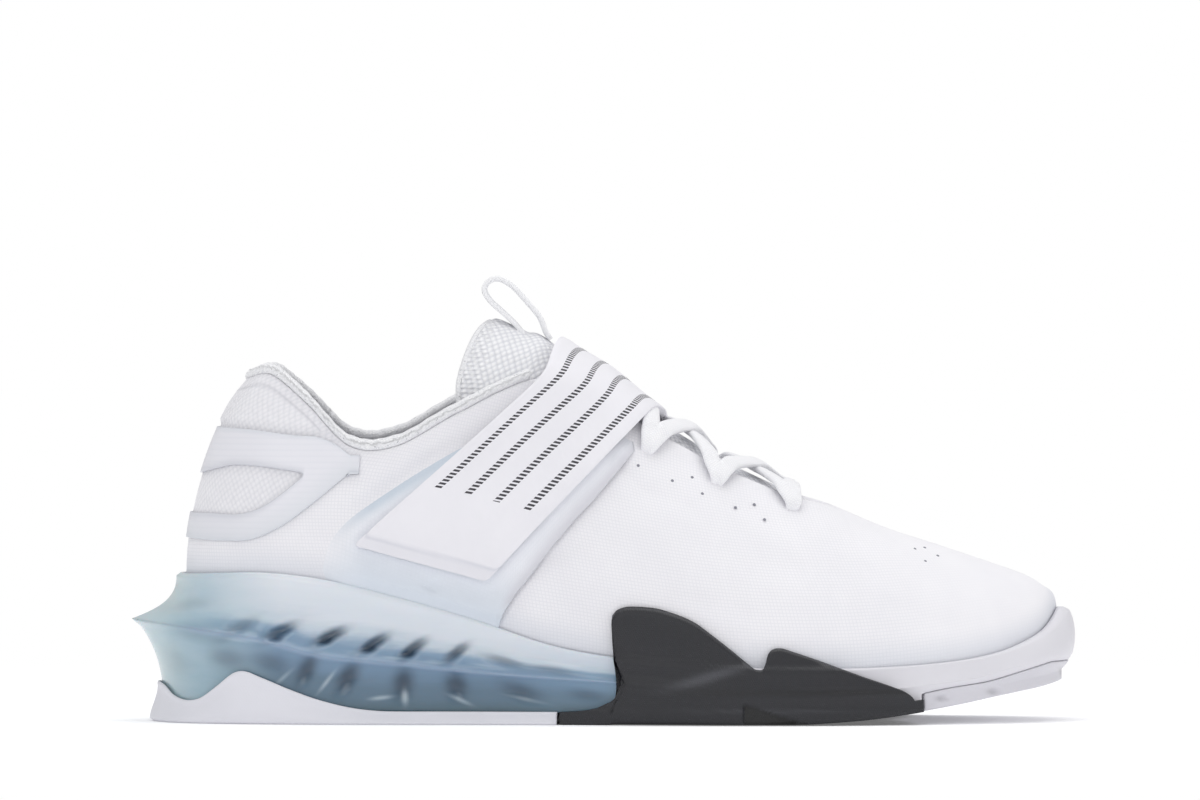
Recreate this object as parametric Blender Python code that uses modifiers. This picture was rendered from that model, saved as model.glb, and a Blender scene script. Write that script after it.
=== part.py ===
# Weightlifting shoe for the right foot: toe towards +X, outer side towards -Y, standing on Z = 0.
# Every form grows from one last: a sole line, a top line and a curved wall between them.
import math

import bmesh
import bpy
from mathutils import Matrix, Vector

# Driving sizes, in metres
LENGTH = 0.300  # heel fin to toe bumper
BALL_WIDTH = 0.100  # unit of every width of the last
COLLAR_HEIGHT = 0.115  # floor to the top of the heel collar
HEEL_STACK = 0.0293  # floor to the foot board at the heel
TOE_SPRING = 0.0146  # lift of the sole's underside at the toe
SOLE_FLARE = 0.0070  # how far the midsole's ridge stands out from the upper
UPPER_WALL = 0.0020
PAD_STEP = 0.0012  # the padded heel tab stands this proud of the wall
BINDING_WIDTH = 0.0042
BINDING_HEIGHT = 0.0034
OUTSOLE_THICKNESS = 0.0032
GROOVE_DEPTH = 0.0014
GROOVE_WIDTH = 0.0034
RIM_THICKNESS = 0.0017  # top edge of the sole's wall
RIM_EDGE = 0.0007  # rounding of that edge
LEAST_LIP = 0.0008  # an outsole's edge where it hardly turns up
WRAP_THICKNESS = 0.0017  # rubber that climbs over the forefoot
TOE_THICKNESS = 0.0015
HEEL_FLANGE = 0.0024  # heel outsole's wall round the midsole
POCKET_DEPTH = 0.0034
POCKET_LENGTH = 0.0062
OVERLAY_THICKNESS = 0.0009
WING_THICKNESS = 0.0013
STRAP_THICKNESS = 0.0022
TONGUE_THICKNESS = 0.0050
INSOLE_THICKNESS = 0.0040
LACE_WIDTH = 0.0054
LACE_THICKNESS = 0.0030
EYELET_RADIUS = 0.0021
LOOP_WIDTH = 0.0090
LOOP_THICKNESS = 0.0019
GAP = 0.00035  # between pieces that touch on the real shoe
MIDLINE = 0.0009  # the last's centre line, from the middle of the sole's width

SIDES = ("lateral", "medial")


class Table:
    # Hand-chosen rows of percentages, each column a share of the size it follows.
    # Columns named in odd change sign across the heel and the toe.
    def __init__(self, sizes, rows, odd=()):
        self.columns = {}
        for index, (name, size) in enumerate(sizes.items()):
            self.columns[name] = [row[index] * size / 100 for row in rows]
        self.odd = odd
        self.last = len(rows) - 1

    def at(self, name, t):
        values = self.columns[name]
        first = min(max(int(t), 0), self.last - 1)
        f = t - first

        def value(k):
            beyond = k < 0 or k > self.last
            inside = 1 if k < 0 else self.last - 1
            end = 0 if k < 0 else self.last
            if beyond and name in self.odd:
                return 2 * values[end] - values[inside]
            return values[inside] if beyond else values[k]

        a, b, c, d = (value(first + k) for k in (-1, 0, 1, 2))
        curve = 2 * a - 5 * b + 4 * c - d + f * (3 * (b - c) + d - a)
        return b + 0.5 * f * (c - a + f * curve)


class Profile:
    # A height that changes along the shoe, smooth between its rows or straight.
    def __init__(self, x_size, z_size, rows, smooth=True):
        self.xs = [row[0] * x_size / 100 for row in rows]
        self.zs = [row[1] * z_size / 100 for row in rows]
        self.smooth = smooth

    def slope(self, k):
        # Level at a crest, a dip or the end of a flat stretch, so no curve overshoots its rows
        low, high = max(k - 1, 0), min(k + 1, len(self.xs) - 1)
        if low < k < high and (self.zs[k] - self.zs[low]) * (self.zs[high] - self.zs[k]) <= 0:
            return 0
        return (self.zs[high] - self.zs[low]) / (self.xs[high] - self.xs[low])

    def at(self, x):
        xs, zs = self.xs, self.zs
        if x <= xs[0] or x >= xs[-1]:
            return zs[0] if x <= xs[0] else zs[-1]
        k = max(i for i in range(len(xs) - 1) if xs[i] <= x)
        width = xs[k + 1] - xs[k]
        f = (x - xs[k]) / width
        if not self.smooth:
            return zs[k] + f * (zs[k + 1] - zs[k])
        rise = zs[k + 1] - zs[k]
        start, end = self.slope(k) * width, self.slope(k + 1) * width
        bend = (3 * rise - 2 * start - end) + f * (start + end - 2 * rise)
        return zs[k] + f * (start + f * bend)


# Sole line of the last and the spine under it: one row for each station, heel back to toe tip
LAST = Table(
    {
        "x": LENGTH,
        "lateral": BALL_WIDTH,
        "medial": BALL_WIDTH,
        "spine_x": LENGTH,
        "spine_y": BALL_WIDTH,
    },
    [
        (7.0, 0.0, 0.0, 15.0, 0.0),
        (7.7, -13.0, 13.0, 15.4, 0.0),
        (10.0, -24.0, 23.5, 16.6, 0.0),
        (14.3, -31.0, 30.0, 18.8, 0.0),
        (20.7, -34.0, 32.0, 22.5, -0.5),
        (28.3, -34.5, 31.5, 29.0, -1.5),
        (36.7, -35.5, 30.0, 37.0, -2.5),
        (45.0, -38.5, 30.5, 45.0, -3.5),
        (53.3, -43.0, 33.5, 53.3, -3.5),
        (61.0, -46.8, 38.5, 60.5, -3.0),
        (66.7, -48.0, 42.5, 66.0, -2.0),
        (71.3, -47.8, 45.0, 70.5, -1.0),
        (75.3, -46.4, 46.3, 74.0, 0.0),
        (79.3, -43.8, 46.3, 77.5, 1.0),
        (84.0, -39.0, 44.3, 81.0, 2.5),
        (88.7, -32.0, 39.8, 84.0, 3.8),
        (92.3, -26.0, 35.5, 86.5, 4.8),
        (95.6, -14.5, 26.5, 88.0, 5.5),
        (97.5, 6.0, 6.0, 88.6, 6.0),
    ],
    odd=("lateral", "medial"),
)
TOE = LAST.last
THROAT_FRONT = 13  # the station where the two top lines meet

# Top line from the heel back: collar, then throat edge, up to the middle of the throat's front
TOP = Table(
    {
        "x": LENGTH,
        "lateral": BALL_WIDTH,
        "medial": BALL_WIDTH,
        "lateral_z": COLLAR_HEIGHT,
        "medial_z": COLLAR_HEIGHT,
    },
    [
        (12.3, 0.0, 0.0, 97.4, 97.4),
        (12.9, -9.5, 9.5, 98.4, 98.4),
        (15.2, -18.0, 18.0, 99.0, 99.2),
        (18.9, -25.5, 25.5, 91.0, 91.6),
        (23.3, -30.0, 30.0, 79.6, 81.0),
        (28.3, -32.0, 32.0, 79.6, 81.6),
        (35.0, -30.5, 30.5, 89.0, 91.0),
        (42.3, -25.5, 25.5, 96.6, 97.6),
        (50.0, -20.5, 21.0, 88.6, 89.6),
        (57.7, -17.0, 18.0, 77.2, 78.2),
        (63.3, -15.2, 17.0, 69.6, 70.4),
        (69.0, -13.0, 15.5, 63.4, 64.0),
        (73.3, -8.0, 10.5, 60.2, 60.5),
        (74.4, 1.5, 1.5, 59.6, 59.6),
    ],
    odd=("lateral", "medial"),
)
# Crest of the vamp, which both sides share in front of the throat
CREST = Table(
    {"x": LENGTH, "y": BALL_WIDTH, "z": COLLAR_HEIGHT},
    [
        (74.4, 1.5, 59.6),
        (80.0, 2.5, 53.4),
        (85.3, 3.5, 48.9),
        (90.3, 4.5, 44.5),
        (94.3, 5.3, 40.7),
        (96.9, 6.0, 36.9),
    ],
    odd=("x", "y", "z"),
)

# Wall between the two lines: how far and how high its curve is drawn from each end
WALL = Table(
    {
        "foot_out": BALL_WIDTH,
        "foot_up": COLLAR_HEIGHT,
        "top_out": BALL_WIDTH,
        "top_up": COLLAR_HEIGHT,
    },
    [
        (10.0, 17.0, 12.5, -13.0),
        (9.5, 17.0, 12.0, -13.5),
        (8.5, 17.0, 10.0, -15.0),
        (7.0, 17.0, 6.0, -17.0),
        (6.0, 15.0, 3.5, -15.0),
        (5.0, 14.0, 2.5, -15.0),
        (5.0, 16.0, 3.5, -20.0),
        (5.5, 19.0, 8.0, -20.0),
        (6.0, 21.0, 12.0, -16.0),
        (6.0, 21.0, 15.0, -11.0),
        (5.5, 20.0, 16.0, -8.5),
        (5.0, 20.0, 17.0, -6.5),
        (5.0, 20.0, 20.0, -4.5),
        (4.5, 21.0, 24.5, -1.4),
        (4.0, 20.0, 22.5, -1.4),
        (3.5, 18.0, 19.5, -1.6),
        (3.0, 15.5, 16.0, -1.8),
        (2.5, 12.5, 11.0, -1.8),
        (2.5, 9.5, 6.0, -1.4),
    ],
)

# Sole wall at each station: height of its rim and the reach of its ridge
SOLE = Table(
    {
        "lateral_rim": COLLAR_HEIGHT,
        "medial_rim": COLLAR_HEIGHT,
        "rim_out": RIM_THICKNESS,
        "ridge_z": COLLAR_HEIGHT,
        "ridge_out": SOLE_FLARE,
        "foot_out": SOLE_FLARE,
    },
    [
        (41.0, 41.0, 190, 28.2, 282, 165),
        (41.0, 41.0, 180, 27.4, 210, 140),
        (41.4, 41.4, 150, 25.6, 140, 100),
        (41.6, 41.6, 110, 23.4, 108, 74),
        (39.5, 40.0, 100, 18.6, 100, 66),
        (35.0, 36.5, 100, 16.6, 100, 64),
        (28.8, 31.0, 100, 14.4, 98, 62),
        (21.6, 25.5, 100, 12.9, 84, 58),
        (18.0, 20.0, 100, 11.5, 54, 50),
        (16.4, 17.4, 100, 10.0, 54, 48),
        (15.7, 16.4, 100, 9.0, 50, 46),
        (15.5, 16.0, 100, 8.6, 46, 44),
        (15.6, 15.9, 100, 8.8, 46, 42),
        (15.9, 16.1, 100, 9.6, 48, 42),
        (16.6, 16.7, 110, 11.0, 52, 44),
        (18.0, 18.0, 125, 12.6, 60, 50),
        (20.4, 20.4, 150, 15.4, 74, 50),
        (25.0, 25.0, 180, 17.4, 92, 56),
        (31.4, 31.4, 200, 19.4, 104, 56),
    ],
)

BOARD = Profile(
    LENGTH,
    HEEL_STACK,
    [
        (7, 100),
        (20, 99),
        (28, 92),
        (37, 79),
        (45, 66),
        (53, 53),
        (61, 42.5),
        (67, 38),
        (72, 36.5),
        (78, 38),
        (84, 43.5),
        (89, 51),
        (93, 59),
        (96, 65.5),
        (98, 70),
    ],
)
UNDERSIDE = Profile(
    LENGTH,
    TOE_SPRING,
    [(0, 0), (70, 0), (76, 7), (80, 17), (84, 31), (88, 46), (92, 63), (96, 80), (100, 100)],
)
# Top edge of the heel outsole's flange, as a height over the floor
FLANGE_TOP = Profile(
    LENGTH,
    COLLAR_HEIGHT,
    [
        (2.0, 11.6),
        (3.2, 10.2),
        (4.2, 7.6),
        (5.8, 6.3),
        (7.2, 7.0),
        (9.0, 10.2),
        (10.8, 13.8),
        (11.9, 14.6),
        (14.0, 12.8),
        (17.0, 9.6),
        (20.3, 6.6),
        (24.3, 4.3),
        (28.5, 3.6),
        (46.0, 3.6),
    ],
)
# Top edge of the dark rubber, straight between rows because its corners are crisp
WRAP_TOP = {
    "lateral": Profile(
        LENGTH,
        COLLAR_HEIGHT,
        [
            (45.8, 3.6),
            (48.6, 4.7),
            (50.5, 6.4),
            (51.4, 9.0),
            (51.9, 25.0),
            (52.4, 30.6),
            (54.0, 32.6),
            (56.0, 32.0),
            (59.3, 29.9),
            (62.0, 27.3),
            (64.0, 23.6),
            (65.6, 18.6),
            (66.8, 15.3),
            (67.5, 18.8),
            (68.4, 21.3),
            (70.2, 20.6),
            (73.6, 17.6),
            (78.0, 13.4),
            (81.0, 9.8),
            (83.1, 6.6),
        ],
        smooth=False,
    ),
    "medial": Profile(
        LENGTH,
        COLLAR_HEIGHT,
        [
            (45.8, 3.6),
            (49.0, 5.4),
            (52.0, 10.0),
            (55.5, 14.4),
            (60.0, 16.6),
            (66.0, 16.2),
            (72.0, 14.4),
            (78.0, 11.2),
            (83.1, 6.6),
        ],
        smooth=False,
    ),
}
TOE_LIP = Profile(
    LENGTH,
    COLLAR_HEIGHT,
    [(83.4, 7.8), (84.2, 8.6), (87.0, 10.0), (91.0, 11.6), (95.0, 14.4), (98.0, 16.6)],
)
# Seam between the heel counter and the padded tab, and the same level carried on to the toe
SEAM = Profile(
    LENGTH,
    COLLAR_HEIGHT,
    [
        (5.0, 82.2),
        (12.0, 81.6),
        (17.5, 79.5),
        (22.0, 71.5),
        (28.3, 68.0),
        (36.0, 74.0),
        (44.0, 78.0),
        (52.0, 70.0),
        (60.0, 58.5),
        (70.0, 49.0),
        (80.0, 42.0),
        (90.0, 34.5),
        (97.0, 30.0),
    ],
)
COUNTER_LOW = Profile(
    LENGTH,
    COLLAR_HEIGHT,
    [(5.0, 51.0), (10.0, 50.2), (13.0, 50.6), (16.0, 54.0), (19.0, 59.6), (23.4, 69.0)],
)
COUNTER_HIGH = Profile(
    LENGTH,
    COLLAR_HEIGHT,
    [(5.0, 81.4), (12.0, 80.8), (17.5, 78.7), (20.5, 76.0), (23.4, 70.6)],
)
WINDOW_LOW = Profile(
    LENGTH,
    COLLAR_HEIGHT,
    [(7.0, 58.8), (8.5, 57.7), (11.1, 57.4), (13.1, 58.3), (15.0, 60.8), (18.3, 67.6)],
)
WINDOW_HIGH = Profile(
    LENGTH,
    COLLAR_HEIGHT,
    [(7.0, 65.5), (8.5, 68.8), (11.5, 71.0), (14.0, 70.6), (16.7, 69.6), (18.3, 68.8)],
)
WING_BACK = Profile(
    LENGTH,
    COLLAR_HEIGHT,
    [
        (15.5, 43.2),
        (17.2, 45.0),
        (19.2, 48.6),
        (22.2, 56.1),
        (28.0, 67.0),
        (34.5, 77.6),
        (40.0, 84.5),
        (44.0, 87.5),
        (48.0, 86.0),
        (54.0, 78.6),
    ],
)
WING_FRONT = Profile(
    LENGTH,
    COLLAR_HEIGHT,
    [(38.6, 20.0), (39.4, 29.3), (42.1, 39.7), (46.8, 55.0), (49.7, 63.2), (54.0, 77.0)],
)
# Height of the tongue's middle over the throat's edges, every half station from TONGUE_BACK
TONGUE_RISE = Table(
    {"rise": COLLAR_HEIGHT},
    [(rise,) for rise in (12.6, 7.8, 6.6, 3.9, 2.8, 2.3, 1.8, 1.4, 1.0, 0.2, -1.0, -2.2, -3.0)],
)
TONGUE_BACK = 7  # the tongue leaves the throat here and stands free above the collar
TONGUE_FRONT = 12.5
# How far the free end of the tongue leans back and up, at its middle and at its sides
TONGUE_END = {"middle": (-3.9, 4.8), "side": (-7.2, 0.6)}
# Where the strap's corners lie: share of the length, then share of the collar's height
STRAP_CORNERS = {
    "lateral": ((23.8, 48.9), (37.9, 39.1)),
    "medial": ((39.5, 34.0), (51.5, 25.0)),
}
STRAP_THROAT = (7.4, 8.72)  # stations of its two edges where it crosses the throat
EYELET_ROWS = (8.95, 9.9, 10.75, 11.5)
EYELET_SHARE = 0.88
WINDOW_SPAN = (1.15, 3.65)
COUNTER_END = 4.25
BINDING_END = 7.0
MIDSOLE_END = 8.35  # station where the clear midsole meets the forefoot one
FOREFOOT_START = 8.40
HEEL_SOLE_END = 45.5
WRAP_SPAN = (45.8, 83.1)
TOE_SOLE_START = 83.5
# Along the side of the midsole, and across the forefoot's tread, in shares of the length
POCKETS = (11.5, 15.2, 21.0, 25.6, 29.6, 34.2, 39.0)
GROOVES = (57.0, 64.9, 72.6)
LOOP_ROUTE = (
    (39.5, 112.9),
    (38.2, 116.0),
    (37.5, 119.1),
    (38.0, 121.6),
    (39.1, 122.1),
    (40.5, 120.0),
    (42.0, 115.8),
    (43.3, 111.7),
    (44.0, 107.4),
    (44.5, 105.5),
)


def feather(side, t):
    x = LAST.at("x", t)
    return Vector((x, LAST.at(side, t), BOARD.at(x) + GAP))


def spine(t, z):
    return Vector((LAST.at("spine_x", t), LAST.at("spine_y", t), z))


def outward(side, t):
    # Level direction straight out of the sole line
    step = 0.02
    ahead, behind = min(t + step, TOE), max(t - step, 0)
    along = feather(side, ahead) - feather(side, behind)
    if t < step or t > TOE - step:
        along.x = 0
    sign = 1 if side == "lateral" else -1
    return Vector((along.y * sign, -along.x * sign, 0)).normalized()


def top(side, t):
    # In front of the throat both sides end on one crest, and at the collar the binding sits above
    if t >= THROAT_FRONT:
        ahead = t - THROAT_FRONT
        return Vector((CREST.at("x", ahead), CREST.at("y", ahead), CREST.at("z", ahead)))
    room = (BINDING_HEIGHT + GAP) * (1 - smooth_step(BINDING_END - 0.4, BINDING_END + 0.6, t))
    return Vector((TOP.at("x", t), TOP.at(side, t), TOP.at(side + "_z", t) - room))


def smooth_step(low, high, value):
    f = min(max((value - low) / (high - low), 0), 1)
    return f * f * (3 - 2 * f)


def bezier(points, f):
    g = 1 - f
    a, b, c, d = points
    return a * g**3 + b * 3 * g * g * f + c * 3 * g * f * f + d * f**3


def skin(side, t, v):
    # A point of the upper's outer face: v runs from 0 at the sole to 1 at the top line
    out = outward(side, t)
    low, high = feather(side, t), top(side, t)
    low_pull = low + out * WALL.at("foot_out", t) + Vector((0, 0, WALL.at("foot_up", t)))
    high_pull = high + out * WALL.at("top_out", t) + Vector((0, 0, WALL.at("top_up", t)))
    point = bezier((low, low_pull, high_pull, high), v)
    over_seam = smooth_step(0, 0.0022, point.z - SEAM.at(point.x))
    padded = over_seam * (1 - smooth_step(3.6, 4.8, t)) * (1 - 0.6 * smooth_step(0.85, 1, v))
    return point + out * PAD_STEP * padded


def normal(side, t, v):
    # Outward normal of the upper's outer face
    step = 0.01
    ahead, behind = min(t + step, TOE), max(t - step, 0)
    along = skin(side, ahead, v) - skin(side, behind, v)
    up = skin(side, t, min(v + step, 1)) - skin(side, t, max(v - step, 0))
    cross = along.cross(up) if side == "lateral" else up.cross(along)
    return cross.normalized()


def lifted(side, t, v, lift):
    return skin(side, t, v) + normal(side, t, v) * lift


def bisect(rises_above, low=0.0, high=1.0):
    # The share at which the test turns from false to true
    for _ in range(22):
        middle = (low + high) / 2
        low, high = (low, middle) if rises_above(middle) else (middle, high)
    return (low + high) / 2


def edge_share(side, t, profile):
    # The share at which the skin crosses a line drawn on the side of the shoe
    def above(v):
        point = skin(side, t, v)
        return point.z > profile.at(point.x)

    return bisect(above)


def spot(side, x, z):
    # Station and share of the skin's point at this length and height
    def share(t):
        return bisect(lambda v: skin(side, t, v).z > z)

    t = bisect(lambda t: skin(side, t, share(t)).x > x, 0, TOE)
    return t, share(t)


def skin_at_height(side, t, z):
    # The outer face at a height, or the sole line below it
    if z <= feather(side, t).z:
        point = feather(side, t)
    else:
        point = skin(side, t, bisect(lambda v: skin(side, t, v).z > z))
    return Vector((point.x, point.y, z))


def beside(side, t, z, extra):
    # A point at this height, held out from the upper by extra
    return skin_at_height(side, t, z) + outward(side, t) * extra


def under(side, t, share, height):
    # A point under the foot, from the spine to the sole line, at its own place's height
    middle, edge = spine(t, 0), feather(side, t)
    point = middle.lerp(edge, share)
    point.z = height(point.x)
    return point


def board(x):
    return BOARD.at(x)


def plate_top(x):
    return UNDERSIDE.at(x) + OUTSOLE_THICKNESS


def sole_floor(x):
    return plate_top(x) + GAP


def pocket(x):
    # How deep the side of the midsole is hollowed here, from 0 to 1
    near = min(abs(x - place * LENGTH / 100) for place in POCKETS)
    return 1 - smooth_step(0, POCKET_LENGTH, near)


def sole_wall(side, t):
    # Heights up the outside of the sole and how far each stands out from the upper
    rim = SOLE.at(side + "_rim", t)
    rim_out = SOLE.at("rim_out", t)
    ridge_z, ridge_out = SOLE.at("ridge_z", t), SOLE.at("ridge_out", t)
    foot_out = SOLE.at("foot_out", t)
    x = LAST.at("x", t)
    floor = sole_floor(x)
    dent = POCKET_DEPTH * pocket(x) * (t < MIDSOLE_END)
    levels = []
    for share, hold in ((0, -0.08), (0.3, 0.06), (0.62, 0.28), (0.87, 0.66)):
        levels.append((floor + (ridge_z - floor) * share, foot_out + (ridge_out - foot_out) * hold))
    levels.append((ridge_z, ridge_out))
    for share, hold, hollow in ((0.12, 0.66, 0.5), (0.3, 0.38, 1), (0.56, 0.16, 0.45)):
        reach = rim_out + (ridge_out - rim_out) * hold - dent * hollow
        levels.append((ridge_z + (rim - ridge_z) * share, max(reach, RIM_THICKNESS * 0.8)))
    levels.append((rim - RIM_EDGE, rim_out))
    levels.append((rim, rim_out * 0.7))
    return levels


def wall_reach(side, t, z):
    # The sole's reach at a height, nothing above its rim
    levels = sole_wall(side, t)
    if z <= levels[0][0]:
        return levels[0][1]
    for (low, near), (high, far) in zip(levels, levels[1:]):
        if z <= high:
            return near + (far - near) * (z - low) / (high - low)
    return levels[-1][1] * (1 - smooth_step(0, 0.0015, z - levels[-1][0]))


def stations(first, last, count):
    return [first + (last - first) * k / count for k in range(count + 1)]


def station(x):
    # The station whose sole line is at this distance from the heel
    return bisect(lambda t: LAST.at("x", t) > x, 0, TOE)


def stations_at(shares):
    return [station(share * LENGTH / 100) for share in sorted(shares)]


def finish_object(name, bm, material, collection):
    # Moves the piece to the frame whose origin is under the middle of the shoe
    mesh = bpy.data.meshes.new(name)
    bmesh.ops.remove_doubles(bm, verts=bm.verts, dist=1e-6)
    bmesh.ops.recalc_face_normals(bm, faces=bm.faces)
    bm.to_mesh(mesh)
    bm.free()
    mesh.transform(Matrix.Translation((-LENGTH / 2, MIDLINE, 0)))
    mesh.shade_smooth()
    mesh.set_sharp_from_angle(angle=math.radians(40))
    obj = bpy.data.objects.new(name, mesh)
    collection.objects.link(obj)
    mesh.materials.append(material)
    return obj


def loft(rings, cap_start, cap_end):
    # Joins closed rings of points, one after another
    bm = bmesh.new()
    rows = [[bm.verts.new(point) for point in ring] for ring in rings]
    for near, far in zip(rows, rows[1:]):
        for k in range(len(near)):
            j = (k + 1) % len(near)
            bm.faces.new((near[k], near[j], far[j], far[k]))
    if cap_start:
        cap(bm, rows[0])
    if cap_end:
        cap(bm, rows[-1])
    return bm


def cap(bm, row):
    # Closes a ring with a strip down each half, so that a bent end stays on its own ring
    if len(row) < 12:
        bm.faces.new(row)
        return
    count = len(row) // 2 + 1
    for half in (row[:count], [row[0]] + row[: count - 1 : -1] + [row[count - 1]]):
        if len(half) % 2:
            bm.faces.new((half[0], half[1], half[-1]))
            half = half[1:]
        while len(half) > 8:
            bm.faces.new((half[0], half[1], half[-2], half[-1]))
            half = half[1:-1]
        bm.faces.new(half)


def sheet_body(inner, outer):
    # A closed sheet between two grids of points with the same rows and columns
    bm = bmesh.new()
    faces = [[[bm.verts.new(point) for point in row] for row in grid] for grid in (inner, outer)]
    for grid in faces:
        for near, far in zip(grid, grid[1:]):
            for k in range(len(near) - 1):
                bm.faces.new((near[k], near[k + 1], far[k + 1], far[k]))
    low, high = faces
    borders = [
        (low[0], high[0]),
        (low[-1], high[-1]),
        ([row[0] for row in low], [row[0] for row in high]),
        ([row[-1] for row in low], [row[-1] for row in high]),
    ]
    for below, above in borders:
        for k in range(len(below) - 1):
            bm.faces.new((below[k], below[k + 1], above[k + 1], above[k]))
    return bm


def folded_ring(half_section, t):
    # One ring from the two half sections, which both start and end on the spine
    outer, inner = half_section("lateral", t), half_section("medial", t)
    return outer + list(reversed(inner[1:-1]))


def boolean(obj, operation, other):
    modifier = obj.modifiers.new(operation.lower(), "BOOLEAN")
    modifier.operation = operation
    modifier.solver = "EXACT"
    modifier.object = other
    other.hide_render = True
    other.display_type = "WIRE"


def upper_levels(side, t):
    # Rows of the upper's mesh, with two of them along the seam's step
    seam = min(edge_share(side, t, SEAM), 0.93)
    below = [seam * share for share in (0, 0.19, 0.38, 0.55, 0.71, 0.86, 1)]
    above = [seam + (1 - seam) * share for share in (0.3, 1)]
    return below + above


def make_upper(paint, nodes, cutters):
    bm = bmesh.new()
    for side in SIDES:
        rows = []
        for t in stations(0, 9, 18) + [10, 11] + stations(12, TOE, 12):
            rows.append([bm.verts.new(skin(side, t, v)) for v in upper_levels(side, t)])
        for near, far in zip(rows, rows[1:]):
            for k in range(len(near) - 1):
                corners = (near[k], far[k], far[k + 1], near[k + 1])
                bm.faces.new(corners if side == "lateral" else corners[::-1])
    bmesh.ops.remove_doubles(bm, verts=bm.verts, dist=1e-5)
    obj = finish_object("upper", bm, paint["textile"], nodes)
    wall = obj.modifiers.new("wall", "SOLIDIFY")
    wall.thickness = UPPER_WALL
    wall.offset = -1
    wall.use_quality_normals = True
    holes = bmesh.new()
    for side in SIDES:
        for t in EYELET_ROWS:
            axis = normal(side, t, EYELET_SHARE)
            turn = axis.to_track_quat("Z", "Y").to_matrix().to_4x4()
            place = Matrix.Translation(skin(side, t, EYELET_SHARE)) @ turn
            bmesh.ops.create_cone(
                holes,
                cap_ends=True,
                segments=8,
                radius1=EYELET_RADIUS,
                radius2=EYELET_RADIUS,
                depth=4 * UPPER_WALL,
                matrix=place,
            )
    boolean(obj, "DIFFERENCE", finish_object("eyelet_cutter", holes, paint["textile"], cutters))


def sole_half(side, t):
    wall = sole_wall(side, t)
    rim = wall[-1][0]
    foot = board(LAST.at("x", t))
    points = [under(side, t, 0, sole_floor), under(side, t, 0.6, sole_floor)]
    points += [beside(side, t, z, reach) for z, reach in wall]
    points += [beside(side, t, rim + (foot - rim) * share, 1.8 * GAP) for share in (0, 0.33, 0.67, 1)]
    points += [under(side, t, 0.6, board), under(side, t, 0, board)]
    return points


def heel_stations():
    # Rows shared by the heel's pieces: close round the back, then at each pocket and between
    between = [(a + b) / 2 for a, b in zip(POCKETS, POCKETS[1:])]
    back = stations(0, 1.8, 6)
    sides = stations_at(list(POCKETS) + between + [POCKETS[-1] + 3])
    return back + [t for t in sides if t > back[-1] + 0.1]


def make_midsole(paint, nodes, cutters):
    t_values = heel_stations() + [station(HEEL_SOLE_END * LENGTH / 100), 7.7, MIDSOLE_END]
    rings = [folded_ring(sole_half, t) for t in t_values]
    finish_object("midsole", loft(rings, False, True), paint["clear"], nodes)


def make_forefoot_midsole(paint, nodes, cutters):
    t_values = [FOREFOOT_START] + stations(9, 14, 5) + stations(14.5, 17, 5) + stations(17.25, TOE, 3)
    rings = [folded_ring(sole_half, t) for t in t_values]
    finish_object("forefoot_midsole", loft(rings, True, False), paint["foam"], nodes)


def tray_half(side, t, tops, thickness, groove):
    # A sole plate whose edge turns up round the midsole
    x = LAST.at("x", t)
    bottom = UNDERSIDE.at(x) + groove
    low = plate_top(x)
    high = max(tops[side].at(x), low + LEAST_LIP)
    ridge = min(max(SOLE.at("ridge_z", t), low), high)
    rim = min(max(SOLE.at(side + "_rim", t) - RIM_EDGE, low), high)
    levels = (ridge, rim, (rim + high) / 2, high)

    def wall(z, extra):
        return beside(side, t, z, wall_reach(side, t, z) + 2.5 * GAP + extra)

    def floor(place):
        return UNDERSIDE.at(place) + groove

    points = [under(side, t, 0, floor), under(side, t, 0.6, floor), wall(bottom, thickness * 0.4)]
    points.append(wall(UNDERSIDE.at(x) + GROOVE_DEPTH * 1.3, thickness))
    points += [wall(z, thickness) for z in levels]
    points += [wall(z, 0) for z in reversed(levels)]
    points += [wall(low, 0), under(side, t, 0.6, plate_top), under(side, t, 0, plate_top)]
    return points


def make_heel_outsole(paint, nodes, cutters):
    t_values = heel_stations() + [station(HEEL_SOLE_END * LENGTH / 100)]
    tops = {side: FLANGE_TOP for side in SIDES}
    rings = []
    for t in t_values:
        rings.append(folded_ring(lambda s, u: tray_half(s, u, tops, HEEL_FLANGE, 0), t))
    finish_object("heel_outsole", loft(rings, False, True), paint["white_rubber"], nodes)


def make_forefoot_outsole(paint, nodes, cutters):
    edges = {}
    for place in GROOVES:
        half = 50 * GROOVE_WIDTH / LENGTH
        for offset, groove in ((-half - 0.1, 0), (-half, 1), (half, 1), (half + 0.1, 0)):
            edges[place + offset] = groove * GROOVE_DEPTH
    for place in WRAP_SPAN + tuple(row * 100 / LENGTH for row in WRAP_TOP["lateral"].xs):
        if all(abs(place - edge) > 0.45 for edge in edges):
            inside = any(abs(place - groove) * LENGTH < 50 * GROOVE_WIDTH for groove in GROOVES)
            edges[place] = GROOVE_DEPTH * inside
    rings = []
    for place in sorted(edges):
        groove = edges[place]
        t = station(place * LENGTH / 100)
        rings.append(
            folded_ring(lambda s, u: tray_half(s, u, WRAP_TOP, WRAP_THICKNESS, groove), t)
        )
    finish_object("forefoot_outsole", loft(rings, True, True), paint["dark_rubber"], nodes)


def make_toe_outsole(paint, nodes, cutters):
    tops = {side: TOE_LIP for side in SIDES}
    first = station(TOE_SOLE_START * LENGTH / 100)
    t_values = [first] + [t for t in stations(14.5, 17, 5) + stations(17.25, TOE, 3) if t > first + 0.1]
    rings = []
    for t in t_values:
        rings.append(folded_ring(lambda s, u: tray_half(s, u, tops, TOE_THICKNESS, 0), t))
    finish_object("toe_outsole", loft(rings, True, False), paint["white_rubber"], nodes)


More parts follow.
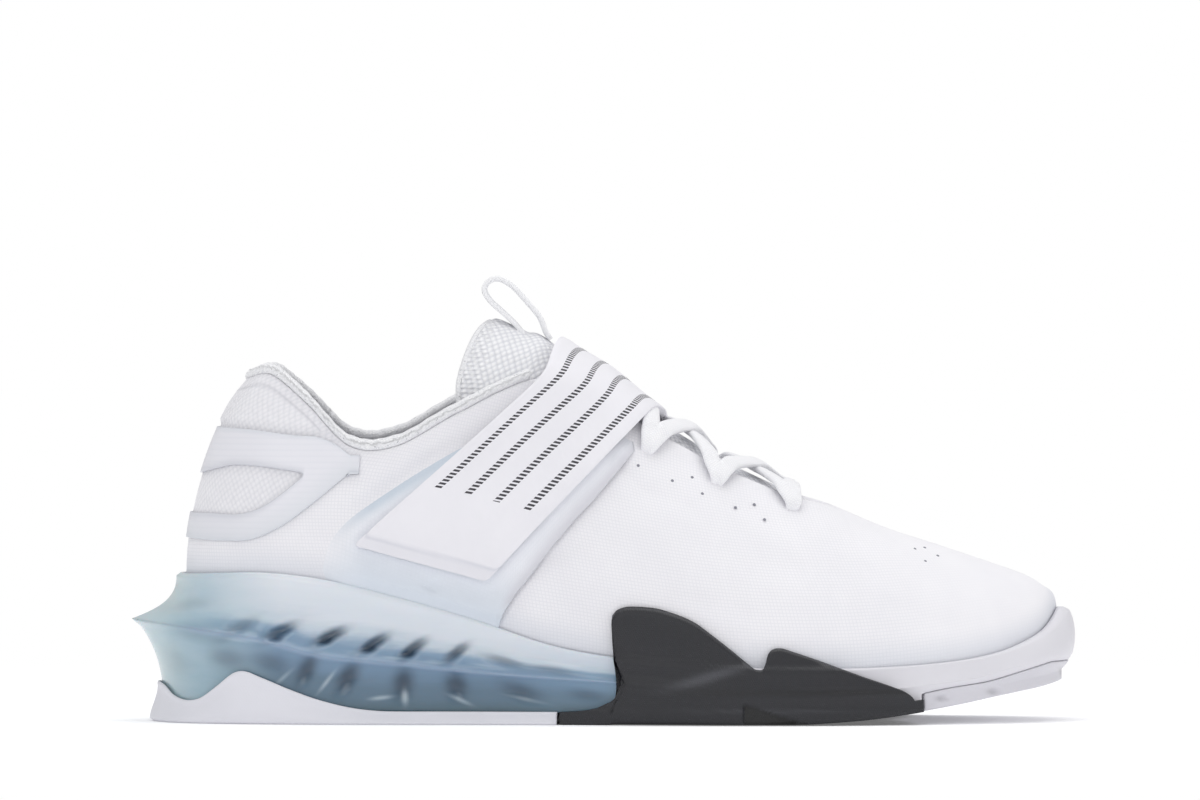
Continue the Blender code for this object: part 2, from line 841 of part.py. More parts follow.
def make_insole(paint, nodes, cutters):
    inset = UPPER_WALL + 2 * GAP

    def half(side, t):
        low = feather(side, t).z
        high = low + INSOLE_THICKNESS
        points = [under(side, t, 0, lambda x: board(x) + GAP)]
        points.append(under(side, t, 0.6, lambda x: board(x) + GAP))
        points += [beside(side, t, low, -inset), beside(side, t, high, -inset)]
        points.append(under(side, t, 0.6, lambda x: board(x) + GAP + INSOLE_THICKNESS))
        points.append(under(side, t, 0, lambda x: board(x) + GAP + INSOLE_THICKNESS))
        return points

    t_values = stations(0, 3, 6) + stations(4, 15, 11) + stations(15.5, TOE, 5)
    rings = [folded_ring(half, t) for t in t_values]
    finish_object("insole", loft(rings, False, False), paint["lining"], nodes)


def overlay(sides_and_stations, low, high, columns, lift, thickness):
    # A patch on the skin between two lines drawn on the side of the shoe
    inner, outer = [], []
    for side, t in sides_and_stations:
        start, end = edge_share(side, t, low), edge_share(side, t, high)
        if isinstance(low, Rim):
            start = min(start, end - 0.01)
        shares = stations(start, max(end, start + 0.01), columns)
        inner.append([lifted(side, t, v, lift) for v in shares])
        outer.append([lifted(side, t, v, lift + thickness) for v in shares])
    return sheet_body(inner, outer)


class Rim:
    # The lower edge of a wing: above the midsole's rim, then up its own front edge
    def __init__(self, side):
        self.side = side

    def at(self, x):
        t = station(x)
        return max(SOLE.at(self.side + "_rim", t) + 2 * GAP, WING_FRONT.at(x))


def make_heel_counter(paint, nodes, cutters):
    half = stations(0, 4, 8) + [COUNTER_END]
    path = [("lateral", t) for t in reversed(half)] + [("medial", t) for t in half[1:]]
    bm = overlay(path, COUNTER_LOW, COUNTER_HIGH, 4, GAP, OVERLAY_THICKNESS)
    obj = finish_object("heel_counter", bm, paint["film"], nodes)
    for side in SIDES:
        path = [(side, t) for t in stations(*WINDOW_SPAN, 6)]
        window = overlay(path, WINDOW_LOW, WINDOW_HIGH, 2, -GAP, 4 * OVERLAY_THICKNESS)
        boolean(obj, "DIFFERENCE", finish_object(side + "_window", window, paint["film"], cutters))


def make_wings(paint, nodes, cutters):
    for side in SIDES:
        rim = Rim(side)
        path = []
        for t in stations(3.5, 6, 5) + stations(6.25, 8.5, 9):
            if edge_share(side, t, WING_BACK) - edge_share(side, t, rim) > 0.02:
                path.append((side, t))
        bm = overlay(path, rim, WING_BACK, 6, 1.8 * GAP, WING_THICKNESS)
        finish_object("wing_" + side, bm, paint["film"], nodes)


ARCH = (-1, -0.72, -0.38, 0, 0.38, 0.72, 1)


def bridge(t, f, lift):
    # Over the throat: f runs from -1 at the lateral edge to 1 at the medial one
    lateral, medial = skin("lateral", t, 1), skin("medial", t, 1)
    point = lateral.lerp(medial, (f + 1) / 2)
    rise = TONGUE_RISE.at("rise", 2 * (t - TONGUE_BACK)) * (1 - abs(f) ** 2.2)
    return point + Vector((0, 0, rise)) + bridge_normal(t, f) * lift


def bridge_normal(t, f):
    # From the throat edges' own normals, level with the instep in between
    lateral, medial = normal("lateral", t, 1), normal("medial", t, 1)
    middle = (lateral + medial).normalized()
    return middle.lerp(lateral if f < 0 else medial, min(abs(f), 1)).normalized()


def make_tongue(paint, nodes, cutters):
    outer, inner = [], []

    def section(t):
        # Held further in at the top, where the collar's binding passes
        binding_room = BINDING_WIDTH / 3 * (1 - smooth_step(7.4, 8.6, t))
        sunk = UPPER_WALL * (1 + 0.7 * smooth_step(10, 12, t)) + 3 * GAP + binding_room
        faces = ([], [])
        flanks = (0.78, 0.86, 0.94)

        def add(point, direction, thickness):
            faces[0].append(point)
            faces[1].append(point - direction * thickness)

        for v, share in zip(flanks, (0.3, 0.55, 0.75)):
            add(lifted("lateral", t, v, -sunk), normal("lateral", t, v), TONGUE_THICKNESS * share)
        for f in ARCH:
            lift = -sunk * abs(f) ** 2 - GAP
            add(bridge(t, f, lift), bridge_normal(t, f), TONGUE_THICKNESS * (1 - 0.15 * abs(f)))
        for v, share in reversed(list(zip(flanks, (0.3, 0.55, 0.75)))):
            add(lifted("medial", t, v, -sunk), normal("medial", t, v), TONGUE_THICKNESS * share)
        return faces

    for t in (TONGUE_FRONT, 12, 11.5, 11, 10, 9.4, 8.8, 8.3, 7.8, 7.4, TONGUE_BACK):
        faces = section(t)
        outer.append(faces[0])
        inner.append(faces[1])
    root, last = [list(face[-1]) for face in (outer, inner)]
    count = len(root)
    for share in (0.35, 0.7, 1):
        for grid, row in ((outer, root), (inner, last)):
            moved = []
            for k, point in enumerate(row):
                side = min(abs(2 * k / (count - 1) - 1) * 1.6, 1)
                ends = zip(TONGUE_END["middle"], TONGUE_END["side"])
                shift = [a + (b - a) * side for a, b in ends]
                back, up = shift[0] * LENGTH / 100, shift[1] * COLLAR_HEIGHT / 100
                new = point + Vector((back, 0, up)) * share
                new.y *= 1 - 0.08 * share
                moved.append(new)
            grid.append(moved)
    finish_object("tongue", sheet_body(inner, outer), paint["spacer"], nodes)


def strap_point(w, row, lift):
    # Row 0 is the lateral end, the last row the medial one; w runs across the width
    lateral_rows, medial_rows = 8, 7
    throat = STRAP_THROAT[0] + (STRAP_THROAT[1] - STRAP_THROAT[0]) * w
    if lateral_rows <= row < lateral_rows + len(ARCH):
        f = ARCH[row - lateral_rows]
        return bridge(throat, f, lift - WING_THICKNESS * (1 - abs(f)) * 0.75)
    side = "lateral" if row < lateral_rows else "medial"
    near, far = (spot(side, *corner) for corner in strap_corners(side))
    t_end = near[0] + (far[0] - near[0]) * w
    v_end = near[1] + (far[1] - near[1]) * w
    if side == "lateral":
        share = 1 - row / lateral_rows
    else:
        share = (row - lateral_rows - len(ARCH) + 1) / medial_rows
    t = throat + (t_end - throat) * share
    v = 1 + (v_end - 1) * share
    return lifted(side, t, v, lift)


def strap_corners(side):
    return [(x * LENGTH / 100, z * COLLAR_HEIGHT / 100) for x, z in STRAP_CORNERS[side]]


def make_strap(paint, nodes, cutters):
    lift = WING_THICKNESS + 3.8 * GAP
    inner, outer = [], []
    for row in range(8 + len(ARCH) + 7):
        inner.append([strap_point(w, row, lift) for w in (0, 0.25, 0.5, 0.75, 1)])
        high = lift + STRAP_THICKNESS
        outer.append([strap_point(w, row, high) for w in (0, 0.25, 0.5, 0.75, 1)])
    finish_object("strap", sheet_body(inner, outer), paint["webbing"], nodes)


def make_collar_binding(paint, nodes, cutters):
    half = stations(0, BINDING_END, 14)
    rings = []
    profile = ((1, 0), (1, 0.4), (0.62, 0.85), (0, 1), (-0.62, 0.85), (-1, 0.4), (-1, 0))
    for side, t in [("lateral", t) for t in reversed(half)] + [("medial", t) for t in half[1:]]:
        across = normal(side, t, 1)
        up = (skin(side, t, 1) - skin(side, t, 0.96)).normalized()
        foot = skin(side, t, 1) - across * UPPER_WALL * 0.4 + up * 1.3 * GAP
        width, height = BINDING_WIDTH / 2, BINDING_HEIGHT
        rings.append([foot + across * a * width + up * b * height for a, b in profile])
    finish_object("collar_binding", loft(rings, True, True), paint["knit"], nodes)


def make_pull_loop(paint, nodes, cutters):
    points = [Vector((x * LENGTH / 100, 0, z * COLLAR_HEIGHT / 100)) for x, z in LOOP_ROUTE]
    inner, outer = [], []
    for k, point in enumerate(points):
        along = points[min(k + 1, len(points) - 1)] - points[max(k - 1, 0)]
        across = Vector((along.z, 0, -along.x)).normalized() * LOOP_THICKNESS / 2
        widths = [Vector((0, share * LOOP_WIDTH, 0)) for share in (-0.5, 0, 0.5)]
        inner.append([point - across + width for width in widths])
        outer.append([point + across + width for width in widths])
    finish_object("pull_loop", sheet_body(inner, outer), paint["webbing"], nodes)


def lace_deck(t, f):
    # The lace's middle line: on the tongue up to 1 either way, then out to the eyelet at 1.5
    lift = LACE_THICKNESS / 2 + 1.6 * GAP
    if abs(f) <= 1:
        return bridge(t, f, lift + GAP * 2 * abs(f))
    side = "lateral" if f < 0 else "medial"
    return lifted(side, t, 1 + (EYELET_SHARE - 1) * (abs(f) - 1) * 2, lift + GAP)


def lace_run(name, start, end, paint, collection):
    # One flat tube from the lateral eyelet at station start to the medial one at station end
    steps = (-1.5, -1.1, -0.6, 0, 0.6, 1.1, 1.5)
    route = [lace_deck(start + (end - start) * (f + 1.5) / 3, f) for f in steps]
    rings = []
    for k, point in enumerate(route):
        along = (route[min(k + 1, len(route) - 1)] - route[max(k - 1, 0)]).normalized()
        lean = bridge_normal(start + (end - start) * (steps[k] + 1.5) / 3, steps[k])
        across = along.cross(lean).normalized()
        high = across.cross(along).normalized()
        ring = []
        for corner in range(6):
            angle = math.tau * corner / 6
            wide = across * math.cos(angle) * LACE_WIDTH / 2
            ring.append(point + wide + high * math.sin(angle) * LACE_THICKNESS / 2)
        rings.append(ring)
    return finish_object(name, loft(rings, True, True), paint["cord"], collection)


def make_lace(paint, nodes, cutters):
    rows = EYELET_ROWS
    runs = [(rows[-1], rows[-1])]
    for near, far in zip(rows, rows[1:]):
        runs += [(near, far), (far, near)]
    obj = lace_run("lace", *runs[0], paint, nodes)
    for k, (start, end) in enumerate(reversed(runs[1:])):
        boolean(obj, "UNION", lace_run(f"lace_run_{k}", start, end, paint, cutters))


def make_paint():
    colours = {
        "textile": (0.86, 0.86, 0.88),
        "spacer": (0.84, 0.84, 0.86),
        "lining": (0.80, 0.80, 0.82),
        "knit": (0.74, 0.74, 0.76),
        "film": (0.80, 0.84, 0.88),
        "clear": (0.40, 0.55, 0.66),
        "foam": (0.88, 0.88, 0.90),
        "white_rubber": (0.88, 0.88, 0.90),
        "dark_rubber": (0.05, 0.05, 0.055),
        "webbing": (0.88, 0.88, 0.90),
        "cord": (0.88, 0.88, 0.90),
    }
    paint = {}
    for name, colour in colours.items():
        material = bpy.data.materials.new(name)
        material.use_nodes = True
        shader = material.node_tree.nodes["Principled BSDF"]
        shader.inputs["Base Color"].default_value = (*colour, 1)
        shader.inputs["Roughness"].default_value = 0.35 if name in ("clear", "film") else 0.7
        paint[name] = material
    return paint


def build():
    for obj in list(bpy.data.objects):
        bpy.data.objects.remove(obj)
    nodes = bpy.data.collections.new("weightlifting_shoe")
    cutters = bpy.data.collections.new("cutters")
    for collection in (nodes, cutters):
        bpy.context.scene.collection.children.link(collection)
    paint = make_paint()
    makers = (
        make_upper,
        make_midsole,
        make_forefoot_midsole,
        make_heel_outsole,
        make_forefoot_outsole,
        make_toe_outsole,
        make_insole,
        make_heel_counter,
        make_wings,
        make_tongue,
        make_strap,
        make_collar_binding,
        make_pull_loop,
        make_lace,
    )
    for make in makers:
        make(paint, nodes, cutters)


build()
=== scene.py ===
import math

import bmesh
import bpy
import numpy as np
from mathutils import Matrix, Vector


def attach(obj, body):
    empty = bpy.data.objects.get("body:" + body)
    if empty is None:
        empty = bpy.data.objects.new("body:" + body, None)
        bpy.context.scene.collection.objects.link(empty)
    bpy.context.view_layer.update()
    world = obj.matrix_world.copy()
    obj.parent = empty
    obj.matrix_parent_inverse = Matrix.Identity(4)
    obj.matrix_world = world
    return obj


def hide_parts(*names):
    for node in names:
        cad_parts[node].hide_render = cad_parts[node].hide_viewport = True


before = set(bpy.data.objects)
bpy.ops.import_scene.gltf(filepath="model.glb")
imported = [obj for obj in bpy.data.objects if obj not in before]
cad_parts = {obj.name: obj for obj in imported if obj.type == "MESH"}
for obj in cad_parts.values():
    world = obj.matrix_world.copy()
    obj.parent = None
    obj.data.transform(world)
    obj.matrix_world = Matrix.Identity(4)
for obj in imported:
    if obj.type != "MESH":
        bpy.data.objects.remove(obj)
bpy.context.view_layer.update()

# The shoe's own sizes in metres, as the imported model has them.
# Lengths run from the heel fin (0) to the toe bumper, and the outer side is negative Y.
shoe = {
    "length": 0.300,
    "ball": 0.100,
    "collar": 0.115,
    "heelStack": 0.0293,
    "toeSpring": 0.0146,
    "flare": 0.0070,
    "midline": 0.0009,
    "wall": 0.0020,
    "outsole": 0.0032,
    "rim": 0.0017,
    "gap": 0.00035,
}
toe = 18  # stations run from 0 at the heel's back to 18 at the toe's tip
throatFront = 13
mm = 0.001
lengthStep = shoe["length"] / 100
collarStep = shoe["collar"] / 100


def rowsOf(names, rows):
    return {name: np.array([row[k] for row in rows], float) for k, name in enumerate(names)}


# Sole line of the last and its spine, in percent of the length and of the ball's width
last = rowsOf(
    ("x", "lateral", "medial", "spineX", "spineY"),
    (
        (7.0, 0.0, 0.0, 15.0, 0.0),
        (7.7, -13.0, 13.0, 15.4, 0.0),
        (10.0, -24.0, 23.5, 16.6, 0.0),
        (14.3, -31.0, 30.0, 18.8, 0.0),
        (20.7, -34.0, 32.0, 22.5, -0.5),
        (28.3, -34.5, 31.5, 29.0, -1.5),
        (36.7, -35.5, 30.0, 37.0, -2.5),
        (45.0, -38.5, 30.5, 45.0, -3.5),
        (53.3, -43.0, 33.5, 53.3, -3.5),
        (61.0, -46.8, 38.5, 60.5, -3.0),
        (66.7, -48.0, 42.5, 66.0, -2.0),
        (71.3, -47.8, 45.0, 70.5, -1.0),
        (75.3, -46.4, 46.3, 74.0, 0.0),
        (79.3, -43.8, 46.3, 77.5, 1.0),
        (84.0, -39.0, 44.3, 81.0, 2.5),
        (88.7, -32.0, 39.8, 84.0, 3.8),
        (92.3, -26.0, 35.5, 86.5, 4.8),
        (95.6, -14.5, 26.5, 88.0, 5.5),
        (97.5, 6.0, 6.0, 88.6, 6.0),
    ),
)
# Collar and throat, then the crest that both sides share
topLine = rowsOf(
    ("x", "lateral", "medial", "lateralZ", "medialZ"),
    (
        (12.3, 0.0, 0.0, 97.4, 97.4),
        (12.9, -9.5, 9.5, 98.4, 98.4),
        (15.2, -18.0, 18.0, 99.0, 99.2),
        (18.9, -25.5, 25.5, 91.0, 91.6),
        (23.3, -30.0, 30.0, 79.6, 81.0),
        (28.3, -32.0, 32.0, 79.6, 81.6),
        (35.0, -30.5, 30.5, 89.0, 91.0),
        (42.3, -25.5, 25.5, 96.6, 97.6),
        (50.0, -20.5, 21.0, 88.6, 89.6),
        (57.7, -17.0, 18.0, 77.2, 78.2),
        (63.3, -15.2, 17.0, 69.6, 70.4),
        (69.0, -13.0, 15.5, 63.4, 64.0),
        (73.3, -8.0, 10.5, 60.2, 60.5),
        (74.4, 1.5, 1.5, 59.6, 59.6),
    ),
)
crest = rowsOf(
    ("x", "y", "z"),
    (
        (74.4, 1.5, 59.6),
        (80.0, 2.5, 53.4),
        (85.3, 3.5, 48.9),
        (90.3, 4.5, 44.5),
        (94.3, 5.3, 40.7),
        (96.9, 6.0, 36.9),
    ),
)
# How far the wall's curve is drawn out and up from its foot and from its top
wall = rowsOf(
    ("footOut", "footUp", "topOut", "topUp"),
    (
        (10.0, 17.0, 12.5, -13.0),
        (9.5, 17.0, 12.0, -13.5),
        (8.5, 17.0, 10.0, -15.0),
        (7.0, 17.0, 6.0, -17.0),
        (6.0, 15.0, 3.5, -15.0),
        (5.0, 14.0, 2.5, -15.0),
        (5.0, 16.0, 3.5, -20.0),
        (5.5, 19.0, 8.0, -20.0),
        (6.0, 21.0, 12.0, -16.0),
        (6.0, 21.0, 15.0, -11.0),
        (5.5, 20.0, 16.0, -8.5),
        (5.0, 20.0, 17.0, -6.5),
        (5.0, 20.0, 20.0, -4.5),
        (4.5, 21.0, 24.5, -1.4),
        (4.0, 20.0, 22.5, -1.4),
        (3.5, 18.0, 19.5, -1.6),
        (3.0, 15.5, 16.0, -1.8),
        (2.5, 12.5, 11.0, -1.8),
        (2.5, 9.5, 6.0, -1.4),
    ),
)
# The sole's side: heights in percent of the collar, reaches in percent of the rim and the flare
soleSide = rowsOf(
    ("lateralRim", "medialRim", "rimOut", "ridgeZ", "ridgeOut", "footOut"),
    (
        (41.0, 41.0, 190, 28.2, 282, 165),
        (41.0, 41.0, 180, 27.4, 210, 140),
        (41.4, 41.4, 150, 25.6, 140, 100),
        (41.6, 41.6, 110, 23.4, 108, 74),
        (39.5, 40.0, 100, 18.6, 100, 66),
        (35.0, 36.5, 100, 16.6, 100, 64),
        (28.8, 31.0, 100, 14.4, 98, 62),
        (21.6, 25.5, 100, 12.9, 84, 58),
        (18.0, 20.0, 100, 11.5, 54, 50),
        (16.4, 17.4, 100, 10.0, 54, 48),
        (15.7, 16.4, 100, 9.0, 50, 46),
        (15.5, 16.0, 100, 8.6, 46, 44),
        (15.6, 15.9, 100, 8.8, 46, 42),
        (15.9, 16.1, 100, 9.6, 48, 42),
        (16.6, 16.7, 110, 11.0, 52, 44),
        (18.0, 18.0, 125, 12.6, 60, 50),
        (20.4, 20.4, 150, 15.4, 74, 50),
        (25.0, 25.0, 180, 17.4, 92, 56),
        (31.4, 31.4, 200, 19.4, 104, 56),
    ),
)
# Heights along the shoe: length and height in percent of the length and the collar
lines = {
    "seam": ((5, 82.2), (12, 81.6), (17.5, 79.9), (20.1, 79.6), (21.4, 83), (22.8, 91), (28.3, 97)),
    "counterLow": ((5, 51), (10, 50.2), (13, 50.6), (16, 54), (19, 59.6), (23.4, 69)),
    "counterHigh": ((5, 81.4), (12, 80.8), (17.5, 79.1), (20.1, 78.6), (22, 76.4), (23.4, 73.7)),
    "windowLow": ((5, 57.7), (8.5, 57.7), (11.1, 57.4), (13.1, 58.3), (15, 60.8), (18.3, 67.6), (18.5, 68.6)),
    "windowHigh": (
        (5, 65.4), (7.3, 68.2), (9, 69.7), (11.5, 71), (14, 70.6), (16.7, 69.6), (18.3, 68.8), (18.5, 68.2),
    ),
    "wingBack": (
        (15.5, 43.2), (17.2, 45), (19.2, 48.6), (22.2, 56.1), (28, 67), (34.5, 77.6),
        (40, 84.5), (44, 87.5), (48, 86), (54, 78.6),
    ),
    "wingFront": ((38.6, 20), (39.4, 29.3), (42.1, 39.7), (46.8, 55), (49.7, 63.2), (54, 77)),
    "flange": (
        (2, 11.6), (3.2, 10.2), (4.2, 7.6), (5.8, 6.3), (7.2, 7), (9, 10.2), (10.8, 13.8),
        (11.9, 14.6), (14, 12.8), (17, 9.6), (20.3, 6.6), (24.3, 4.3), (28.5, 3.6), (46, 3.6),
    ),
    "toeLip": ((83.4, 7.8), (84.2, 8.6), (87, 10), (91, 11.6), (95, 14.4), (98, 16.6)),
    "lateralWrap": (
        (45.8, 3.6), (48.6, 4.3), (50.2, 6.0), (50.9, 9.5), (51.05, 20), (51.2, 28), (51.6, 30.6),
        (52.3, 31.9), (53.4, 32.5), (55, 32.4), (56.8, 31.7), (59.9, 28.6), (62, 24.4), (63.9, 20.2),
        (65.4, 16.8), (66.3, 15.3), (66.9, 15.5), (67.25, 17.2), (67.5, 19.2), (68, 20.7), (68.8, 21.2),
        (70.2, 20.2), (73.6, 17.1), (77.3, 13.5), (80.4, 10.7), (82.3, 8.4), (83.1, 5.6),
    ),
    "medialWrap": (
        (45.8, 3.6), (49, 5.4), (52, 10), (55.5, 14.4), (60, 16.6), (66, 16.2), (72, 14.4),
        (78, 11.2), (83.1, 6.6),
    ),
}
lines = {name: np.array(rows, float) / 100 for name, rows in lines.items()}
boardLine = np.array(
    (
        (7, 100), (20, 99), (28, 92), (37, 79), (45, 66), (53, 53), (61, 42.5), (67, 38), (72, 36.5),
        (78, 38), (84, 43.5), (89, 51), (93, 59), (96, 65.5), (98, 70),
    )
) / 100
underLine = np.array(
    ((0, 0), (70, 0), (76, 7), (80, 17), (84, 31), (88, 46), (92, 63), (96, 80), (100, 100))
) / 100


def spline(values, t, odd=False):
    # Smooth curve through a table's column, mirrored or turned over at both ends
    if odd:
        first, second = 2 * values[0] - values[1], 2 * values[-1] - values[-2]
    else:
        first, second = values[1], values[-2]
    padded = np.concatenate(([first], values, [second]))
    i = np.clip(np.floor(t).astype(int), 0, len(values) - 2)
    f = t - i
    a, b, c, d = (padded[i + k] for k in range(4))
    return b + 0.5 * f * (c - a + f * (2 * a - 5 * b + 4 * c - d + f * (3 * (b - c) + d - a)))


def heightLine(rows, x, tall):
    # A height drawn along the shoe, at lengths x
    xs, zs = rows[:, 0] * shoe["length"], rows[:, 1] * tall
    slopes = np.gradient(zs, xs)
    inner = (zs[2:] - zs[:-2]) / (xs[2:] - xs[:-2])
    turning = (zs[1:-1] - zs[:-2]) * (zs[2:] - zs[1:-1]) <= 0
    slopes[1:-1] = np.where(turning, 0, inner)
    k = np.clip(np.searchsorted(xs, x, side="right") - 1, 0, len(xs) - 2)
    width = xs[k + 1] - xs[k]
    f = np.clip((x - xs[k]) / width, 0, 1)
    rise = zs[k + 1] - zs[k]
    start, end = slopes[k] * width, slopes[k + 1] * width
    return zs[k] + f * (start + f * ((3 * rise - 2 * start - end) + f * (start + end - 2 * rise)))


def line(name, x):
    return heightLine(lines[name], x, shoe["collar"])


def board(x):
    return heightLine(boardLine, x, shoe["heelStack"])


def under(x):
    return heightLine(underLine, x, shoe["toeSpring"])


def stack(x, y, z):
    return np.stack(np.broadcast_arrays(x, y, z), axis=-1)


def ramp(low, high, value):
    f = np.clip((value - low) / (high - low), 0, 1)
    return f * f * (3 - 2 * f)


def unit(vectors):
    return vectors / np.maximum(np.linalg.norm(vectors, axis=-1, keepdims=True), 1e-12)


def lastX(t):
    return spline(last["x"], t) * shoe["length"] / 100


def onSide(table, column, side, t, unitSize, odd=True):
    # A column of each side, where side is -1 on the outer and 1 on the inner side
    outer = spline(table["lateral" + column], t, odd)
    inner = spline(table["medial" + column], t, odd)
    return np.where(side < 0, outer, inner) * unitSize / 100


def feather(side, t):
    x = lastX(t)
    return stack(x, onSide(last, "", side, t, shoe["ball"]), board(x) + shoe["gap"])


def outward(side, t):
    along = feather(side, np.minimum(t + 0.02, toe)) - feather(side, np.maximum(t - 0.02, 0))
    ends = (t < 0.02) | (t > toe - 0.02)
    x = np.where(ends, 0, along[..., 0])
    return unit(stack(-along[..., 1] * side, x * side, np.zeros_like(x)))


binding = {"width": 4.2 * mm, "height": 3.4 * mm, "end": 7.0}


def topEdge(side, t):
    room = (binding["height"] + shoe["gap"]) * (1 - ramp(binding["end"] - 0.4, binding["end"] + 0.6, t))
    back = stack(
        spline(topLine["x"], t) * shoe["length"] / 100,
        onSide(topLine, "", side, t, shoe["ball"]),
        onSide(topLine, "Z", side, t, shoe["collar"], odd=False) - room,
    )
    ahead = np.clip(t - throatFront, 0, None)
    front = stack(
        spline(crest["x"], ahead, True) * shoe["length"] / 100,
        spline(crest["y"], ahead, True) * shoe["ball"] / 100,
        spline(crest["z"], ahead, True) * shoe["collar"] / 100,
    )
    return np.where((t >= throatFront)[..., None], front, back)


padStep = 1.2 * mm


def skin(side, t, v):
    # The upper's outer face: v runs from 0 at the sole to 1 at the top line
    side, t, v = np.broadcast_arrays(*(np.asarray(value, float) for value in (side, t, v)))
    out = outward(side, t)
    low, high = feather(side, t), topEdge(side, t)
    drawn = {name: spline(values, t)[..., None] / 100 for name, values in wall.items()}
    up = np.array((0, 0, 1))
    lowPull = low + out * drawn["footOut"] * shoe["ball"] + up * drawn["footUp"] * shoe["collar"]
    highPull = high + out * drawn["topOut"] * shoe["ball"] + up * drawn["topUp"] * shoe["collar"]
    f = v[..., None]
    g = 1 - f
    point = low * g**3 + lowPull * 3 * g * g * f + highPull * 3 * g * f * f + high * f**3
    overSeam = ramp(0, 0.0022, point[..., 2] - line("seam", point[..., 0]))
    padded = overSeam * (1 - ramp(3.6, 4.8, t)) * (1 - 0.6 * ramp(0.85, 1, v))
    return point + out * (padStep * padded)[..., None]


def normal(side, t, v):
    side, t, v = np.broadcast_arrays(*(np.asarray(value, float) for value in (side, t, v)))
    step = 0.01
    along = skin(side, np.minimum(t + step, toe), v) - skin(side, np.maximum(t - step, 0), v)
    up = skin(side, t, np.minimum(v + step, 1)) - skin(side, t, np.maximum(v - step, 0))
    return unit(np.cross(along, up) * -side[..., None])


def lifted(side, t, v, lift):
    return skin(side, t, v) + normal(side, t, v) * np.asarray(lift)[..., None]


def bisect(isAbove, shape, low=0.0, high=1.0):
    low, high = np.full(shape, low), np.full(shape, high)
    for _ in range(20):
        middle = (low + high) / 2
        above = isAbove(middle)
        high = np.where(above, middle, high)
        low = np.where(above, low, middle)
    return (low + high) / 2


def shareAt(side, t, height):
    # The share of the wall at which the skin crosses a height drawn along the shoe
    def isAbove(v):
        point = skin(side, t, v)
        return point[..., 2] > height(point[..., 0])

    return bisect(isAbove, np.shape(t))


def spot(side, x, z):
    # Station and share of the skin's point at one length and height
    def share(t):
        return bisect(lambda v: skin(side, t, v)[..., 2] > z, np.shape(t))

    t = bisect(lambda t: skin(side, t, share(t))[..., 0] > x, np.shape(x), 0.0, float(toe))
    return t, share(t)


def beside(side, t, z, extra):
    # A point at this height, held out from the upper by extra
    low = feather(side, t)
    v = bisect(lambda v: skin(side, t, v)[..., 2] > z, np.shape(t))
    point = np.where((z <= low[..., 2])[..., None], low, skin(side, t, v))
    point = point + outward(side, t) * np.asarray(extra)[..., None]
    point[..., 2] = z
    return point


def shareUnder(side, t, share, height):
    # A point under the foot, from the spine to the sole line
    x = spline(last["spineX"], t) * shoe["length"] / 100
    y = spline(last["spineY"], t) * shoe["ball"] / 100
    edge = feather(side, t)
    point = stack(x, y, 0 * x)
    point = point + (edge - point) * np.asarray(share)[..., None]
    point[..., 2] = height(point[..., 0])
    return point


def soleRim(side, t):
    return onSide(soleSide, "Rim", side, t, shoe["collar"], odd=False)


def soleFloor(x):
    return under(x) + shoe["outsole"] + shoe["gap"]


def sideReach(side, t, share):
    # The sole's side from its floor (0) over the ridge (1) to the rim (2): height and reach
    x = lastX(t)
    floor, rim = soleFloor(x), soleRim(side, t)
    ridge = spline(soleSide["ridgeZ"], t) * shoe["collar"] / 100
    ridgeOut = spline(soleSide["ridgeOut"], t) * shoe["flare"] / 100
    footOut = spline(soleSide["footOut"], t) * shoe["flare"] / 100
    rimOut = spline(soleSide["rimOut"], t) * shoe["rim"] / 100
    lower = np.clip(share, 0, 1)
    upper = np.clip(share - 1, 0, 1)
    hold = np.where(share <= 1, -0.08 + 1.08 * lower**2.6, (1 - upper) ** 2.8)
    full = np.where(share <= 1, np.sin(lower * math.pi / 2) ** 0.9, np.cos(upper * math.pi / 2) ** 0.8)
    hold = hold + (full - hold) * ramp(14.0, 17.0, t)
    base = np.where(share <= 1, footOut, rimOut)
    z = np.where(share <= 1, floor + (ridge - floor) * lower, ridge + (rim - ridge) * upper)
    reach = base + (ridgeOut - base) * hold
    edge = ramp(1.93, 2, share)
    return z, np.maximum(reach, 0.8 * shoe["rim"]) - edge * rimOut * 0.4


def wallReach(side, t, z, steps=24):
    # The sole's reach at one height, and nothing above its rim
    shares = np.linspace(0, 2, steps)
    best = np.zeros(np.shape(t))
    levels = [sideReach(side, t, np.full(np.shape(t), share)) for share in shares]
    for (low, near), (high, far) in zip(levels, levels[1:]):
        inside = (z >= low) & (z <= high)
        f = np.clip((z - low) / np.maximum(high - low, 1e-9), 0, 1)
        best = np.where(inside, near + (far - near) * f, best)
    best = np.where(z < levels[0][0], levels[0][1], best)
    over = z - levels[-1][0]
    return np.where(over > 0, levels[-1][1] * (1 - ramp(0, 0.0015, over)), best)


def toFrame(points):
    return points + np.array((-shoe["length"] / 2, shoe["midline"], 0))


def arcLengths(points, axis):
    steps = np.linalg.norm(np.diff(points, axis=axis), axis=-1)
    zero = np.zeros_like(np.take(steps, [0], axis=axis))
    return np.cumsum(np.concatenate((zero, steps), axis=axis), axis=axis)


def objectOf(name, data):
    made = bpy.data.objects.new(name, data)
    bpy.context.scene.collection.objects.link(made)
    return made


